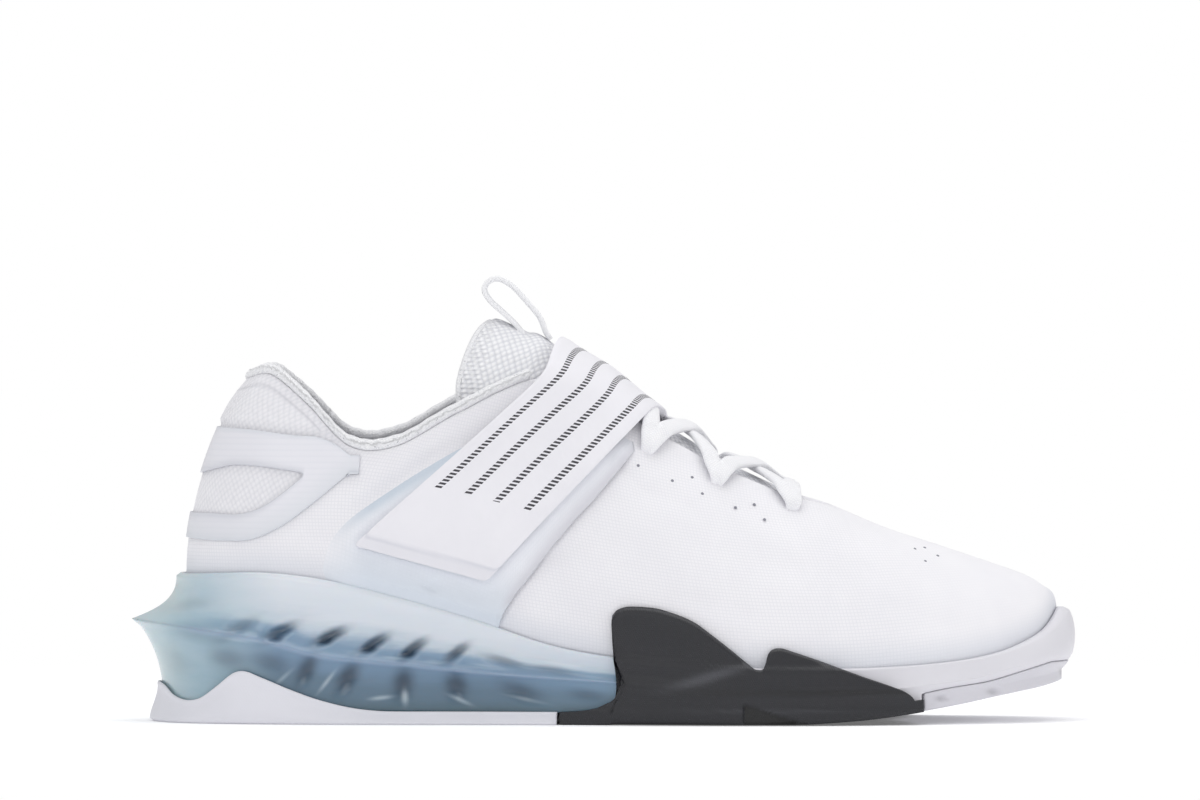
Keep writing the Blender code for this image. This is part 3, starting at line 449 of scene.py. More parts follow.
def sheetOf(name, rows, columns, place, closed=False, away=(0, 0, 0.04)):
    # A grid from bmesh, moved into place: place takes and gives arrays of rows by columns.
    # It gives points, and may add values by name, which become the piece's attributes.
    bm = bmesh.new()
    bmesh.ops.create_grid(bm, x_segments=rows, y_segments=columns, size=0.5)
    mesh = bpy.data.meshes.new(name)
    bm.to_mesh(mesh)
    bm.free()
    flat = np.empty(len(mesh.vertices) * 3)
    mesh.vertices.foreach_get("co", flat)
    corners = flat.reshape(-1, 3)
    spread = corners.max(axis=0) - corners.min(axis=0)
    share = (corners - corners.min(axis=0))[:, :2] / spread[:2]
    rows, columns = (len(np.unique(np.round(share[:, k], 6))) - 1 for k in (0, 1))
    a, b = np.rint(share[:, 0] * rows).astype(int), np.rint(share[:, 1] * columns).astype(int)
    grid = np.meshgrid(np.linspace(0, 1, rows + 1), np.linspace(0, 1, columns + 1), indexing="ij")
    made = place(*grid)
    points, values = made if isinstance(made, tuple) else (made, {})
    mesh.vertices.foreach_set("co", toFrame(points)[a, b].ravel())
    values = {"along": arcLengths(points, 0), "across": arcLengths(points, 1), **values}
    for label, value in values.items():
        attribute = mesh.attributes.new(label, "FLOAT", "POINT")
        attribute.data.foreach_set("value", np.broadcast_to(value, (rows + 1, columns + 1))[a, b])
    bm = bmesh.new()
    bm.from_mesh(mesh)
    if "cut" in values:
        mark = bm.verts.layers.float["cut"]
        gone = [face for face in bm.faces if all(vert[mark] > 0.5 for vert in face.verts)]
        bmesh.ops.delete(bm, geom=gone, context="FACES")
    bmesh.ops.remove_doubles(bm, verts=bm.verts, dist=2e-6)
    bmesh.ops.dissolve_degenerate(bm, edges=bm.edges, dist=2e-6)
    if closed:
        openEdges = [edge for edge in bm.edges if edge.is_boundary]
        bmesh.ops.holes_fill(bm, edges=openEdges)
        bmesh.ops.recalc_face_normals(bm, faces=bm.faces)
    centre = Vector(away)
    facing = sum(f.normal.dot(f.calc_center_median() - centre) * f.calc_area() for f in bm.faces)
    if not closed and facing < 0:
        bmesh.ops.reverse_faces(bm, faces=bm.faces)
    bm.to_mesh(mesh)
    bm.free()
    mesh.shade_smooth()
    return objectOf(name, mesh)


def thicken(piece, thickness):
    modifier = piece.modifiers.new("wall", "SOLIDIFY")
    modifier.thickness = thickness
    modifier.offset = -1.0


def soften(piece, width):
    modifier = piece.modifiers.new("edge", "BEVEL")
    modifier.width = width
    modifier.segments = 2
    modifier.limit_method = "ANGLE"
    modifier.angle_limit = math.radians(50)


def dress(piece, finish, slot, *nodes):
    piece.data.materials.append(finish.material)
    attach(piece, "root")
    if nodes:
        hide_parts(*nodes)
    print("made", piece.name)


def tone(red, green, blue):
    # A colour from 0 to 255 as the eye reads it, in the shader's own scale
    return tuple(((value / 255 + 0.055) / 1.055) ** 2.4 for value in (red, green, blue)) + (1,)


class Finish:
    # One material: nodes are added by kind, and an input takes a value or another node's output
    def __init__(self, name, colour, roughness, **sockets):
        self.material = bpy.data.materials.new(name)
        self.material.use_nodes = True
        self.tree = self.material.node_tree
        self.shader = self.tree.nodes["Principled BSDF"]
        self.put(self.shader, {"Base Color": colour, "Roughness": roughness})
        self.put(self.shader, {label.replace("_", " "): value for label, value in sockets.items()})

    def put(self, node, inputs):
        for label, value in inputs.items():
            if isinstance(value, bpy.types.NodeSocket):
                self.tree.links.new(value, node.inputs[label])
            else:
                node.inputs[label].default_value = value

    def add(self, kind, inputs, out=0, **settings):
        node = self.tree.nodes.new("ShaderNode" + kind)
        for label, value in settings.items():
            setattr(node, label, value)
        self.put(node, inputs)
        return node.outputs[out]

    def math(self, operation, first, second=0.0, third=0.0):
        return self.add("Math", {0: first, 1: second, 2: third}, operation=operation)

    def value(self, label):
        return self.add("Attribute", {}, out="Fac", attribute_name=label)

    def mix(self, factor, first, second):
        return self.add("Mix", {0: factor, 6: first, 7: second}, out=2, data_type="RGBA")

    def veil(self, below, label, amount, shade):
        # A colour laid over another as far as a value on the surface says
        return self.mix(self.math("MULTIPLY", self.value(label), amount), below, tone(*shade))

    def clouded(self, scale, dark, light):
        # Two colours in soft clouds; scale is the noise's own, per metre
        cloud = self.noise(self.solid((scale, scale, scale)), 1.0)
        return self.mix(cloud, tone(*dark), tone(*light))

    def surface(self, turn=0.0, stretch=(1, 1)):
        # Millimetres along and across the piece's own surface
        flat = self.add("CombineXYZ", {0: self.value("along"), 1: self.value("across")})
        scale = (1000 * stretch[0], 1000 * stretch[1], 1000)
        return self.add("Mapping", {"Vector": flat, "Rotation": (0, 0, turn), "Scale": scale})

    def solid(self, scale=(1000, 1000, 1000), turn=(0, 0, 0)):
        # Millimetres in the object's own place
        place = self.add("TexCoord", {}, out="Object")
        return self.add("Mapping", {"Vector": place, "Rotation": turn, "Scale": scale})

    def bands(self, vector, direction, period, sharp=1.0):
        wave = {"Vector": vector, "Scale": 0.314159 / period, "Distortion": 0.0, "Detail": 0.0}
        lines = self.add("TexWave", wave, out="Fac", bands_direction=direction)
        return self.math("POWER", lines, sharp)

    def noise(self, vector, scale, detail=3.0):
        return self.add("TexNoise", {"Vector": vector, "Scale": scale, "Detail": detail}, out="Fac")

    def cells(self, vector, scale, loose):
        inputs = {"Vector": vector, "Scale": scale, "Randomness": loose}
        return self.add("TexVoronoi", inputs, out="Distance")

    def bump(self, height, strength, distance):
        inputs = {"Height": height, "Strength": strength, "Distance": distance}
        below = self.shader.inputs["Normal"]
        if below.is_linked:
            inputs["Normal"] = below.links[0].from_socket
        self.put(self.shader, {"Normal": self.add("Bump", inputs)})

    def paint(self, colour):
        self.put(self.shader, {"Base Color": colour})


sides = {"lateral": -1.0, "medial": 1.0}


def bothSides(a, end=float(toe)):
    # One run from the outer side's front round the heel to the inner side's front
    u = (2 * a - 1) * end
    return np.where(u < 0, -1.0, 1.0), np.abs(u)


# Soft troughs (negative) and ridges (positive) in the fabric, drawn on the outer side:
# start and end as length and height in mm, then half width and depth in mm
creases = (
    (66, 64, 103, 89, 2.6, -0.9),
    (70, 61, 107, 86, 2.2, 0.5),
    (95, 42, 97, 46, 2.8, -0.7),
    (104, 44, 122, 40, 3.6, -0.5),
    (118, 45, 150, 60, 3.0, -0.45),
    (150, 88, 166, 70, 2.2, -0.5),
    (160, 76, 184, 66, 2.6, -0.35),
    (186, 72, 214, 60, 2.4, -0.35),
    (196, 52, 232, 46, 4.0, -0.4),
    (222, 56, 246, 42, 3.0, -0.4),
    (230, 60, 252, 50, 2.4, 0.25),
    (168, 42, 206, 33, 3.4, -0.35),
    (240, 38, 262, 30, 3.0, -0.3),
    (44, 96, 52, 104, 2.2, -0.3),
    (64, 84, 78, 80, 2.0, 0.25),
)


def creased(points):
    # How far the rows lift or sink each point
    x, z = points[..., 0] / mm, points[..., 2] / mm
    total = np.zeros(x.shape)
    for x0, z0, x1, z1, half, depth in creases:
        dx, dz = x1 - x0, z1 - z0
        f = ((x - x0) * dx + (z - z0) * dz) / (dx * dx + dz * dz)
        reach = np.clip(f, 0, 1)
        away = np.hypot(x - x0 - reach * dx, z - z0 - reach * dz)
        fade = 0.4 + ramp(0, 0.25, reach) * ramp(0, 0.25, 1 - reach)
        total += depth * mm * np.exp(-((away / half) ** 2)) * fade
    return total


upperGrid = {"rows": 470, "columns": 84}


def upperPlace(a, b):
    side, t = bothSides(a)
    points = skin(side, t, b)
    out = normal(side, t, b)
    lift = creased(points)
    # Ribbed edge along the throat, and a fine stitched line under the collar
    fromEdge = (1 - b) * 60
    ribs = np.cos(fromEdge * math.tau / 1.5) * ramp(0.4, 1.2, fromEdge) * (1 - ramp(4.8, 6.2, fromEdge))
    lift = lift + 0.16 * mm * ribs * ramp(8.6, 9.2, t) * (1 - ramp(12.6, 13.2, t))
    lift = np.where(b > 0.985, lift * (1 - (b - 0.985) / 0.015), lift) * ramp(0, 0.05, b)
    overSeam = ramp(0, 0.0022, points[..., 2] - line("seam", points[..., 0]))
    tab = overSeam * (1 - ramp(3.9, 4.2, t))
    lowLine = line("counterLow", points[..., 0])
    window = ramp(0, 0.002, points[..., 2] - lowLine) * (1 - ramp(3.6, 3.9, t)) * (1 - overSeam)
    return points + out * lift[..., None], {
        "mesh": np.clip(tab + window, 0, 1),
        "ribbed": tab * (1 - ramp(1.1, 1.9, t)),
        "plain": ramp(12.4, 15.6, t) + ramp(0.9, 1, b) * ramp(8.6, 9, t) * (1 - ramp(12.8, 13.4, t)),
        # low: where painted shade falls on the upper just above the sole's rim
        "low": 1 - ramp(0, 0.011, points[..., 2] - soleRim(side, t)),
        "stitch": np.exp(-(((points[..., 2] - topEdge(side, t)[..., 2] + 0.0036) / 0.0005) ** 2)) * tab,
    }


def upperFinish():
    f = Finish("white ripstop", tone(240, 239, 243), 0.72, Sheen_Weight=0.12)
    v = f.surface()
    grid = f.math("MAXIMUM", f.bands(v, "X", 1.15, 6), f.bands(v, "Y", 1.15, 6))
    fine = f.math("MULTIPLY", f.bands(v, "X", 0.42), f.bands(v, "Y", 0.42))
    ripstop = f.math("MULTIPLY_ADD", fine, 0.35, grid)
    mesh, plain = f.value("mesh"), f.value("plain")
    shear = f.surface(turn=math.radians(32), stretch=(1, 0.8))
    knuckle = f.math("SUBTRACT", 1.0, f.cells(shear, 0.68, 0.18))
    ribs = f.bands(v, "X", 1.5, 1.5)
    spacer = f.math("MULTIPLY_ADD", f.value("ribbed"), f.math("MULTIPLY", ribs, 0.9), knuckle)
    woven = f.math("SUBTRACT", 1.0, f.math("MULTIPLY", plain, 0.7))
    keep = f.math("MULTIPLY", f.math("SUBTRACT", 1.0, mesh), woven)
    pale = f.clouded(60, (234, 233, 238), (244, 243, 246))
    lined = f.mix(f.math("MULTIPLY", f.math("MULTIPLY", grid, keep), 0.4), pale, tone(216, 217, 224))
    # Painted shade in the hollows of the mesh panels
    hollow = f.math("MULTIPLY", f.math("POWER", f.math("SUBTRACT", 1.0, knuckle), 1.4), mesh)
    shaded = f.mix(f.math("MINIMUM", f.math("MULTIPLY", hollow, 0.9), 0.5), lined, tone(206, 207, 214))
    shaded = f.veil(shaded, "stitch", 0.5, (186, 186, 194))
    # Bluish painted shade just above the sole's rim
    f.paint(f.veil(shaded, "low", 0.5, (202, 207, 217)))
    f.bump(f.math("MULTIPLY", ripstop, keep), 0.28, 0.0001)
    f.bump(f.math("MULTIPLY", spacer, mesh), 0.55, 0.0005)
    f.bump(f.noise(f.solid((900, 900, 900)), 1.6, 2.0), 0.25, 0.0001)
    return f


piece = sheetOf("upperShell", upperGrid["rows"], upperGrid["columns"], upperPlace)
thicken(piece, shoe["wall"])
dress(piece, upperFinish(), "upper", "upper")


# Knitted binding round the collar
def bindingPlace(a, b):
    side, t = bothSides(a, binding["end"])
    top, lower = skin(side, t, 1.0 + 0 * t), skin(side, t, 0.96 + 0 * t)
    across, up = normal(side, t, 1.0 + 0 * t), unit(top - lower)
    foot = top - across * shoe["wall"] * 0.4 + up * 1.3 * shoe["gap"]
    angle = math.tau * b
    swell = 1 + 0.03 * np.sin(a * 310) + 0.02 * np.sin(a * 127 + 1)
    width = np.cos(angle) * binding["width"] / 2 * swell
    height = (0.45 + 0.55 * np.sin(angle)) * binding["height"] * swell
    return foot + across * width[..., None] + up * height[..., None]


def knitFinish():
    f = Finish("speckled knit", tone(222, 222, 226), 0.9, Sheen_Weight=0.3)
    v = f.surface(turn=0.6)
    loops = f.cells(v, 1.15, 0.55)
    speck = f.math("LESS_THAN", f.cells(f.surface(), 0.62, 1.0), 0.16)
    pale = f.mix(f.math("MULTIPLY", loops, 0.9), tone(249, 249, 250), tone(216, 217, 222))
    f.paint(f.mix(f.math("MULTIPLY", speck, 0.5), pale, tone(132, 133, 142)))
    f.bump(f.math("SUBTRACT", 1.0, loops), 0.7, 0.0004)
    return f


knit = knitFinish()
piece = sheetOf("collarKnit", 420, 24, bindingPlace, closed=True)
dress(piece, knit, "collar_binding", "collar_binding")


# Film over the heel with an opening on each side, and the pale wings that hold the midfoot
film = {"thickness": 0.55 * mm, "end": 4.25, "wingThickness": 1.3 * mm}


def counterPlace(a, b):
    side, t = bothSides(a, film["end"])
    low = shareAt(side, t, lambda x: line("counterLow", x))
    high = shareAt(side, t, lambda x: line("counterHigh", x))
    sill = shareAt(side, t, lambda x: line("windowLow", x))
    head = shareAt(side, t, lambda x: line("windowHigh", x))
    middle, half = (sill + head) / 2, np.maximum(head - sill, 0) / 2 * (t < 4.2)
    sill, head = middle - half, middle + half
    columns = b.shape[1]
    index = np.rint(b * (columns - 1))
    split = (columns - 1) // 2
    lower = low + (sill - low) * index / split
    upper = head + (high - head) * (index - split - 1) / (columns - 2 - split)
    v = np.where(index <= split, lower, upper)
    rim = (index == split) | (index == split + 1)
    points = skin(side, t, v)
    lift = shoe["gap"] + creased(points) * 0.5 + film["thickness"]
    edge = np.minimum(np.abs(v - low), np.abs(high - v)) * 70
    around = np.minimum(np.abs(v - sill), np.abs(v - head)) * 70 + 9 * (half < 1e-4)
    return points + normal(side, t, v) * lift[..., None], {
        "cut": rim & (half > 1e-4),
        "edge": np.exp(-((edge / 0.9) ** 2)),
        "around": np.exp(-((around / 1.3) ** 2)),
        "lower": 1 - ramp(0, 0.009, points[..., 2] - line("counterLow", points[..., 0])),
    }


def filmFinish():
    f = Finish("satin film", tone(232, 233, 240), 0.38, Coat_Weight=0.15, Coat_Roughness=0.25)
    lines = f.bands(f.solid(), "Z", 1.9, 3)
    pale = f.clouded(40, (224, 224, 231), (231, 231, 237))
    pale = f.mix(f.math("MULTIPLY", lines, 0.2), pale, tone(214, 216, 224))
    pale = f.veil(pale, "lower", 0.5, (212, 216, 222))
    pale = f.veil(pale, "around", 0.45, (190, 193, 202))
    f.paint(f.veil(pale, "edge", 0.5, (204, 209, 217)))
    f.bump(lines, 0.1, 0.0001)
    f.bump(f.noise(f.solid(), 0.8), 0.2, 0.0001)
    return f


piece = sheetOf("heelFilm", 270, 41, counterPlace)
thicken(piece, film["thickness"])
dress(piece, filmFinish(), "heel_counter", "heel_counter")


def wingPlace(side):
    def place(a, b):
        s = np.full(a.shape, sides[side])
        t = 3.72 + (8.42 - 3.72) * a
        x = lastX(t)
        even = np.linspace(0, toe, 361)
        rim = np.interp(x, lastX(even), soleRim(sides[side], even)) - 0.8 * mm
        low = shareAt(s, t, lambda x: np.maximum(rim, line("wingFront", x)))
        high = np.maximum(shareAt(s, t, lambda x: line("wingBack", x)), low + 1e-5)
        v = low + (high - low) * b
        points = skin(s, t, v)
        full = 1.8 * shoe["gap"] + film["wingThickness"]
        back, front = (high - v) * 80, (v - low) * 80
        height = points[..., 2] / mm - rim / mm
        overRim = ramp(1, 5, height)
        ahead = ramp(0, 0.14, a)
        taper = ramp(0, 14, back) * (0.45 + 0.55 * overRim) * ahead
        lift = full * taper - 0.35 * mm * (1 - ramp(0, 9, back) * ahead) + creased(points)
        return points + normal(s, t, v) * lift[..., None], {
            # back: painted shade in the trough along the wing's back edge
            "back": np.exp(-(((back - 4.5) / 4.5) ** 2)) * (1 - ramp(5.8, 6.6, t)),
            # front: painted shade along the front edge, beside the strap
            "front": np.exp(-((front / 3.2) ** 2)) * ramp(4, 12, height),
            # down: painted bluish shade toward the sole's rim
            "down": (1 - ramp(0, 24, height)) * ramp(0, 20, back),
            "faded": (1 - ramp(0, 3, back) * ramp(0, 0.2, a)) * (0.35 + 0.65 * ramp(0, 11, height)),
        }

    return place


def wingFinish():
    f = Finish("pale blue film", tone(222, 227, 236), 0.42, Coat_Weight=0.12, Coat_Roughness=0.3)
    v = f.surface(turn=0.1)
    grid = f.math("MAXIMUM", f.bands(v, "X", 1.3, 6), f.bands(v, "Y", 1.3, 6))
    pale = f.clouded(28, (231, 233, 240), (237, 238, 243))
    # Painted bluish shade toward the sole's rim
    pale = f.veil(pale, "down", 0.85, (204, 213, 224))
    # Painted shade in the trough along the back edge
    pale = f.veil(pale, "back", 0.95, (197, 208, 220))
    pale = f.mix(f.value("faded"), pale, tone(236, 236, 241))
    # Painted shade along the front edge, beside the strap
    pale = f.veil(pale, "front", 0.75, (201, 199, 207))
    f.paint(f.mix(f.math("MULTIPLY", grid, 0.2), pale, tone(212, 218, 226)))
    f.bump(grid, 0.22, 0.0001)
    f.bump(f.noise(f.solid((120, 120, 120)), 1.0), 0.2, 0.0006)
    return f


wing = wingFinish()
for label in sides:
    piece = sheetOf("wing." + label, 170, 72, wingPlace(label), away=(0, 0, 0.05))
    thicken(piece, film["wingThickness"])
    dress(piece, wing, "wing_" + label, "wing_" + label)


# Over the throat: f runs from -1 at the outer edge to 1 at the inner one
tongueRise = np.array((12.6, 7.8, 6.6, 3.9, 2.8, 2.3, 1.8, 1.4, 1.0, 0.2, -1.0, -2.2, -3.0)) * collarStep


def bridgeNormal(t, f):
    outer, inner = normal(-1.0, t, 1.0), normal(1.0, t, 1.0)
    middle = unit(outer + inner)
    near = np.where((f < 0)[..., None], outer, inner)
    return unit(middle + (near - middle) * np.minimum(np.abs(f), 1)[..., None])


def bridge(t, f, lift):
    outer, inner = skin(-1.0, t, 1.0), skin(1.0, t, 1.0)
    point = outer + (inner - outer) * ((f + 1) / 2)[..., None]
    point[..., 2] += spline(tongueRise, np.clip(2 * (t - 7), 0, 12)) * (1 - np.abs(f) ** 2.2)
    return point + bridgeNormal(t, f) * np.asarray(lift)[..., None]


tongue = {
    "front": 12.5, "back": 7.0, "thickness": 5.0 * mm, "crown": 0.9 * mm, "pipe": 2.1 * mm,
    "middleEnd": (-3.9, 4.8), "sideEnd": (-7.2, 0.6), "rows": 150, "columns": 120,
}


def tongueFace(s, c, depth):
    # s runs 0 to 1 along the throat and on to 1.3 at the free end, c from -1.6 to 1.6 across
    t = tongue["front"] + (tongue["back"] - tongue["front"]) * np.minimum(s, 1)
    free = np.clip((s - 1) / 0.3, 0, 1)
    bindingRoom = binding["width"] / 3 * (1 - ramp(7.4, 8.6, t))
    sunk = shoe["wall"] * (1 + 0.7 * ramp(10, 12, t)) + 3 * shoe["gap"] + bindingRoom
    f = np.clip(c, -1, 1)
    flank = np.clip((np.abs(c) - 1) / 0.6, 0, 1)
    side = np.where(c < 0, -1.0, 1.0)
    crown = tongue["crown"] * (1 - np.clip(np.abs(c) / 1.1, 0, 1) ** 2) * ramp(0.6, 1.0, s)
    arch = bridge(t, f, -sunk * f**2 - shoe["gap"] - depth + crown * (depth <= 0))
    v = 1 - 0.22 * flank
    wing = skin(side, t, v) - normal(side, t, v) * (sunk + depth)[..., None]
    points = np.where((np.abs(c) <= 1)[..., None], arch, wing)
    across = np.minimum(np.abs(c), 1)
    back = tongue["middleEnd"][0] + (tongue["sideEnd"][0] - tongue["middleEnd"][0]) * across
    up = tongue["middleEnd"][1] + (tongue["sideEnd"][1] - tongue["middleEnd"][1]) * across
    points = points + stack(back * lengthStep, 0 * back, up * collarStep) * free[..., None]
    points[..., 1] *= 1 - 0.08 * free
    return points


def tonguePlace(a, b):
    # Each row goes over the outside and back under the inside, so the pad closes on itself
    s = 1.3 * a
    over = b < 0.5
    c = np.where(over, -1.6 + 6.4 * b, 1.6 - 6.4 * (b - 0.5))
    taperAcross = np.sqrt(np.clip(1 - (np.abs(c) / 1.6) ** 6, 0, 1))
    ends = np.clip(1 - ((a - 0.5) / 0.5) ** 24, 0, 1) ** 0.5
    taper = (1 - 0.15 * np.minimum(np.abs(c), 1)) * (1 - 0.6 * np.clip(np.abs(c) - 1, 0, 1))
    full = tongue["thickness"] * taper
    half = full / 2 * taperAcross * ends
    depth = np.where(over, full / 2 - half, full / 2 + half)
    dent = 0.35 * mm * np.exp(-(((np.abs(c) - 0.78) / 0.05) ** 2)) * over * ramp(0.75, 0.85, a)
    return tongueFace(s, c, depth + dent), {"ribbed": ramp(0.9, 0.97, a) + 0 * b}


def spacerFinish():
    f = Finish("spacer mesh", tone(232, 232, 236), 0.85, Sheen_Weight=0.25)
    shear = f.surface(turn=math.radians(30), stretch=(1, 0.8))
    cell = f.cells(shear, 0.6, 0.15)
    ribs = f.bands(f.surface(), "Y", 1.6, 1.5)
    # Painted shade in the hollows of the mesh
    hollow = f.math("POWER", f.math("MULTIPLY", cell, 1.5), 1.5)
    pale = f.mix(f.math("MINIMUM", hollow, 0.8), tone(248, 248, 250), tone(208, 209, 216))
    ribbed = f.math("MULTIPLY", ribs, f.value("ribbed"))
    f.paint(f.mix(f.math("MULTIPLY", ribbed, 0.2), pale, tone(244, 244, 246)))
    f.bump(f.math("SUBTRACT", 1.0, cell), 0.7, 0.0006)
    f.bump(ribbed, 0.6, 0.0005)
    return f


piece = sheetOf("tonguePad", tongue["rows"], tongue["columns"], tonguePlace, closed=True)
dress(piece, spacerFinish(), "tongue", "tongue")


def tubeOf(name, route, width, height, lean, rows, columns, power, ends):
    # A flat cord or pipe along a route of points; lean gives each point's upward direction,
    # power how square its section is, and ends how early it narrows
    def place(a, b):
        steps = np.linspace(0, 1, len(route))
        s = np.linspace(0, 1, rows + 1)
        k = s * (len(route) - 1)
        centre = np.stack([spline(np.array(route)[:, j], k, True) for j in range(3)], axis=-1)
        up = unit(np.stack([np.interp(s, steps, np.array(lean)[:, j]) for j in range(3)], axis=-1))
        along = unit(np.gradient(centre, axis=0))
        wide = unit(np.cross(along, up))
        high = np.cross(wide, along)
        angle = b * math.tau
        c, n = np.cos(angle), np.sin(angle)
        c = np.sign(c) * np.abs(c) ** (2 / power)
        n = np.sign(n) * np.abs(n) ** (2 / power)
        shrink = np.clip(1 - np.abs(2 * a - 1) ** (2 / ends), 0, 1) ** 0.5
        wideNow = wide[:, None, :] * (c * width / 2 * shrink)[..., None]
        return centre[:, None, :] + wideNow + high[:, None, :] * (n * height / 2 * shrink)[..., None]

    return sheetOf(name, rows, columns, place, closed=True)


# Piping along the tongue's free edge
c = np.linspace(-1.45, 1.45, 25)
s = np.full(c.shape, 1.3)
full = tongue["thickness"] * (1 - 0.15 * np.minimum(np.abs(c), 1))
pipeRoute = tongueFace(s, c, full * 0.5)
pipeLean = [(0, 0, 1)] * len(c)
pipe = tubeOf("tonguePiping", pipeRoute, tongue["pipe"], tongue["pipe"], pipeLean, 200, 16, 2, 0.02)
dress(pipe, knit, "tongue")


# Strap over the instep: a tape with a sewn lip at its outer end and four dashed lines
strap = {
    "outerCorners": ((23.8, 48.9), (37.9, 39.1)),
    "innerCorners": ((39.5, 34.0), (51.5, 25.0)),
    "throat": (7.4, 8.72),
    "lean": (-0.22, 0.1),
    "thickness": 2.2 * mm,
    "corner": 0.028,
    "lip": 4.6,
    "lines": (0.15, 0.38, 0.61, 0.85),
    "lineStart": 28.7,
    "dash": 1.5,
    "lineWidth": 0.026,
}


def between(table, rowShare, columnShare):
    # Even values between the entries of a small table
    rows, columns = table.shape
    i, j = rowShare * (rows - 1), columnShare * (columns - 1)
    k, m = np.minimum(i.astype(int), rows - 2), np.minimum(j.astype(int), columns - 2)
    i, j = i - k, j - m
    near = table[k, m] * (1 - j) + table[k, m + 1] * j
    far = table[k + 1, m] * (1 - j) + table[k + 1, m + 1] * j
    return near * (1 - i) + far * i


def strapPlace(a, b):
    lift = film["wingThickness"] + 3.8 * shoe["gap"] + strap["thickness"]
    bend = np.clip((np.abs(2 * b - 1) - 1 + 2 * strap["corner"]) / (2 * strap["corner"]), 0, 1)
    inset = strap["corner"] * 0.75 * (1 - np.sqrt(1 - bend**2))
    q = (-2 + inset) + (4 - 2 * inset) * a
    throat = strap["throat"][0] + (strap["throat"][1] - strap["throat"][0]) * b
    f = np.clip(q, -1, 1)
    lean = np.where(f < 0, strap["lean"][0], strap["lean"][1])
    points = bridge(throat + lean * np.abs(f), f, lift - film["wingThickness"] * (1 - np.abs(f)) * 0.75)
    shares, widths = np.meshgrid(np.linspace(0, 1, 25), np.linspace(0, 1, 9), indexing="ij")
    for label, corners, lean in (
        ("lateral", strap["outerCorners"], strap["lean"][0]),
        ("medial", strap["innerCorners"], strap["lean"][1]),
    ):
        # Straight down the side of the shoe from the throat's edge to the strap's end
        side = sides[label]
        edgeT = strap["throat"][0] + (strap["throat"][1] - strap["throat"][0]) * widths + lean
        edge = skin(side, edgeT, 1.0)
        x = (corners[0][0] + (corners[1][0] - corners[0][0]) * widths) * lengthStep
        z = (corners[0][1] + (corners[1][1] - corners[0][1]) * widths) * collarStep
        ends = (edge[..., 0] + (x - edge[..., 0]) * shares, edge[..., 2] + (z - edge[..., 2]) * shares)
        coarse = spot(side, *ends)
        share = np.clip(np.abs(q) - 1, 0, 1)
        t, v = (between(table, share, b) for table in (coarse[0], np.where(shares == 0, 1, coarse[1])))
        flank = lifted(side, t, v, lift + 0 * t)
        points = np.where((q * side > 1)[..., None], flank, points)
    for _ in range(60):
        points[1:-1] = (points[:-2] + 2 * points[1:-1] + points[2:]) / 4
    run = arcLengths(points, 0)
    total = run[-1:, :]
    fromEnd = run / mm
    seam = np.exp(-(((fromEnd - strap["lip"]) / 0.5) ** 2))
    lip = 1 - ramp(strap["lip"] - 0.8, strap["lip"] + 0.2, fromEnd)
    sag = np.sin(fromEnd * 0.16 + 2.2 * b) * np.sin(3.1 * b + 0.5) * ramp(4, 12, fromEnd)
    edge = np.minimum(b, 1 - b)
    lift = -0.35 * mm * seam - 0.45 * mm * lip + 0.18 * mm * sag - 0.3 * mm * np.exp(-((edge / 0.02) ** 2))
    out = unit(np.cross(np.gradient(points, axis=0), np.gradient(points, axis=1)))
    out = out * np.sign(np.sum(out * (points - np.array((0.15, 0, 0.04))), axis=(0, 1, 2)))
    drift = 0.06 * np.clip(1 - fromEnd / 110, 0, 1) - 0.03
    return points + out * lift[..., None], {
        "fromEnd": fromEnd,
        "toEnd": total / mm - fromEnd,
        "lineShare": b + drift,
        # seam: the sewn line and the lip's band, darkened with painted shade of the step
        "seam": seam + lip * 0.3,
    }


def strapFinish():
    f = Finish("smooth strap", tone(238, 237, 242), 0.55, Sheen_Weight=0.08)
    share, run = f.value("lineShare"), f.value("fromEnd")
    marks = 0.0
    for place in strap["lines"]:
        marks = f.math("ADD", marks, f.math("COMPARE", share, place, strap["lineWidth"]))
    steps = f.math("MODULO", f.math("MULTIPLY_ADD", share, -2.0, run), strap["dash"])
    bars = f.math("LESS_THAN", steps, strap["dash"] * 0.56)
    start = f.math("GREATER_THAN", run, strap["lineStart"])
    end = f.math("GREATER_THAN", f.value("toEnd"), strap["lineStart"])
    dark = f.math("MULTIPLY", f.math("MULTIPLY", marks, bars), f.math("MULTIPLY", start, end))
    pale = f.clouded(50, (229, 228, 234), (239, 238, 243))
    # The seam line and the lip, partly the sewn line and partly painted shade of the step
    pale = f.veil(pale, "seam", 0.55, (192, 195, 206))
    # Faint painted shade in the grooves along the stitch lines
    groove = f.math("MULTIPLY", f.math("MULTIPLY", marks, start), f.math("MULTIPLY", end, 0.12))
    pale = f.mix(groove, pale, tone(190, 190, 198))
    f.paint(f.mix(dark, pale, tone(58, 56, 62)))
    f.bump(f.noise(f.solid((95, 95, 60)), 1.0), 0.4, 0.0016)
    f.bump(f.bands(f.surface(turn=0.785), "X", 0.5), 0.15, 0.0001)
    f.bump(dark, -0.5, 0.0003)
    return f


piece = sheetOf("strapTape", 300, 64, strapPlace)
thicken(piece, strap["thickness"])
soften(piece, 0.5 * mm)
dress(piece, strapFinish(), "strap", "strap")


# Pull loop of flat tape, sewn to the top of the tongue
loop = {"width": 9.0 * mm, "thickness": 1.7 * mm}
loopRoute = (
    (41.8, 106.4), (40.8, 109.6), (39.5, 112.9), (38.2, 116.0), (37.5, 119.1), (38.0, 121.6),
    (39.1, 122.1), (40.5, 120.0), (42.0, 115.8), (43.3, 111.7), (44.0, 107.4), (44.5, 105.5),
)


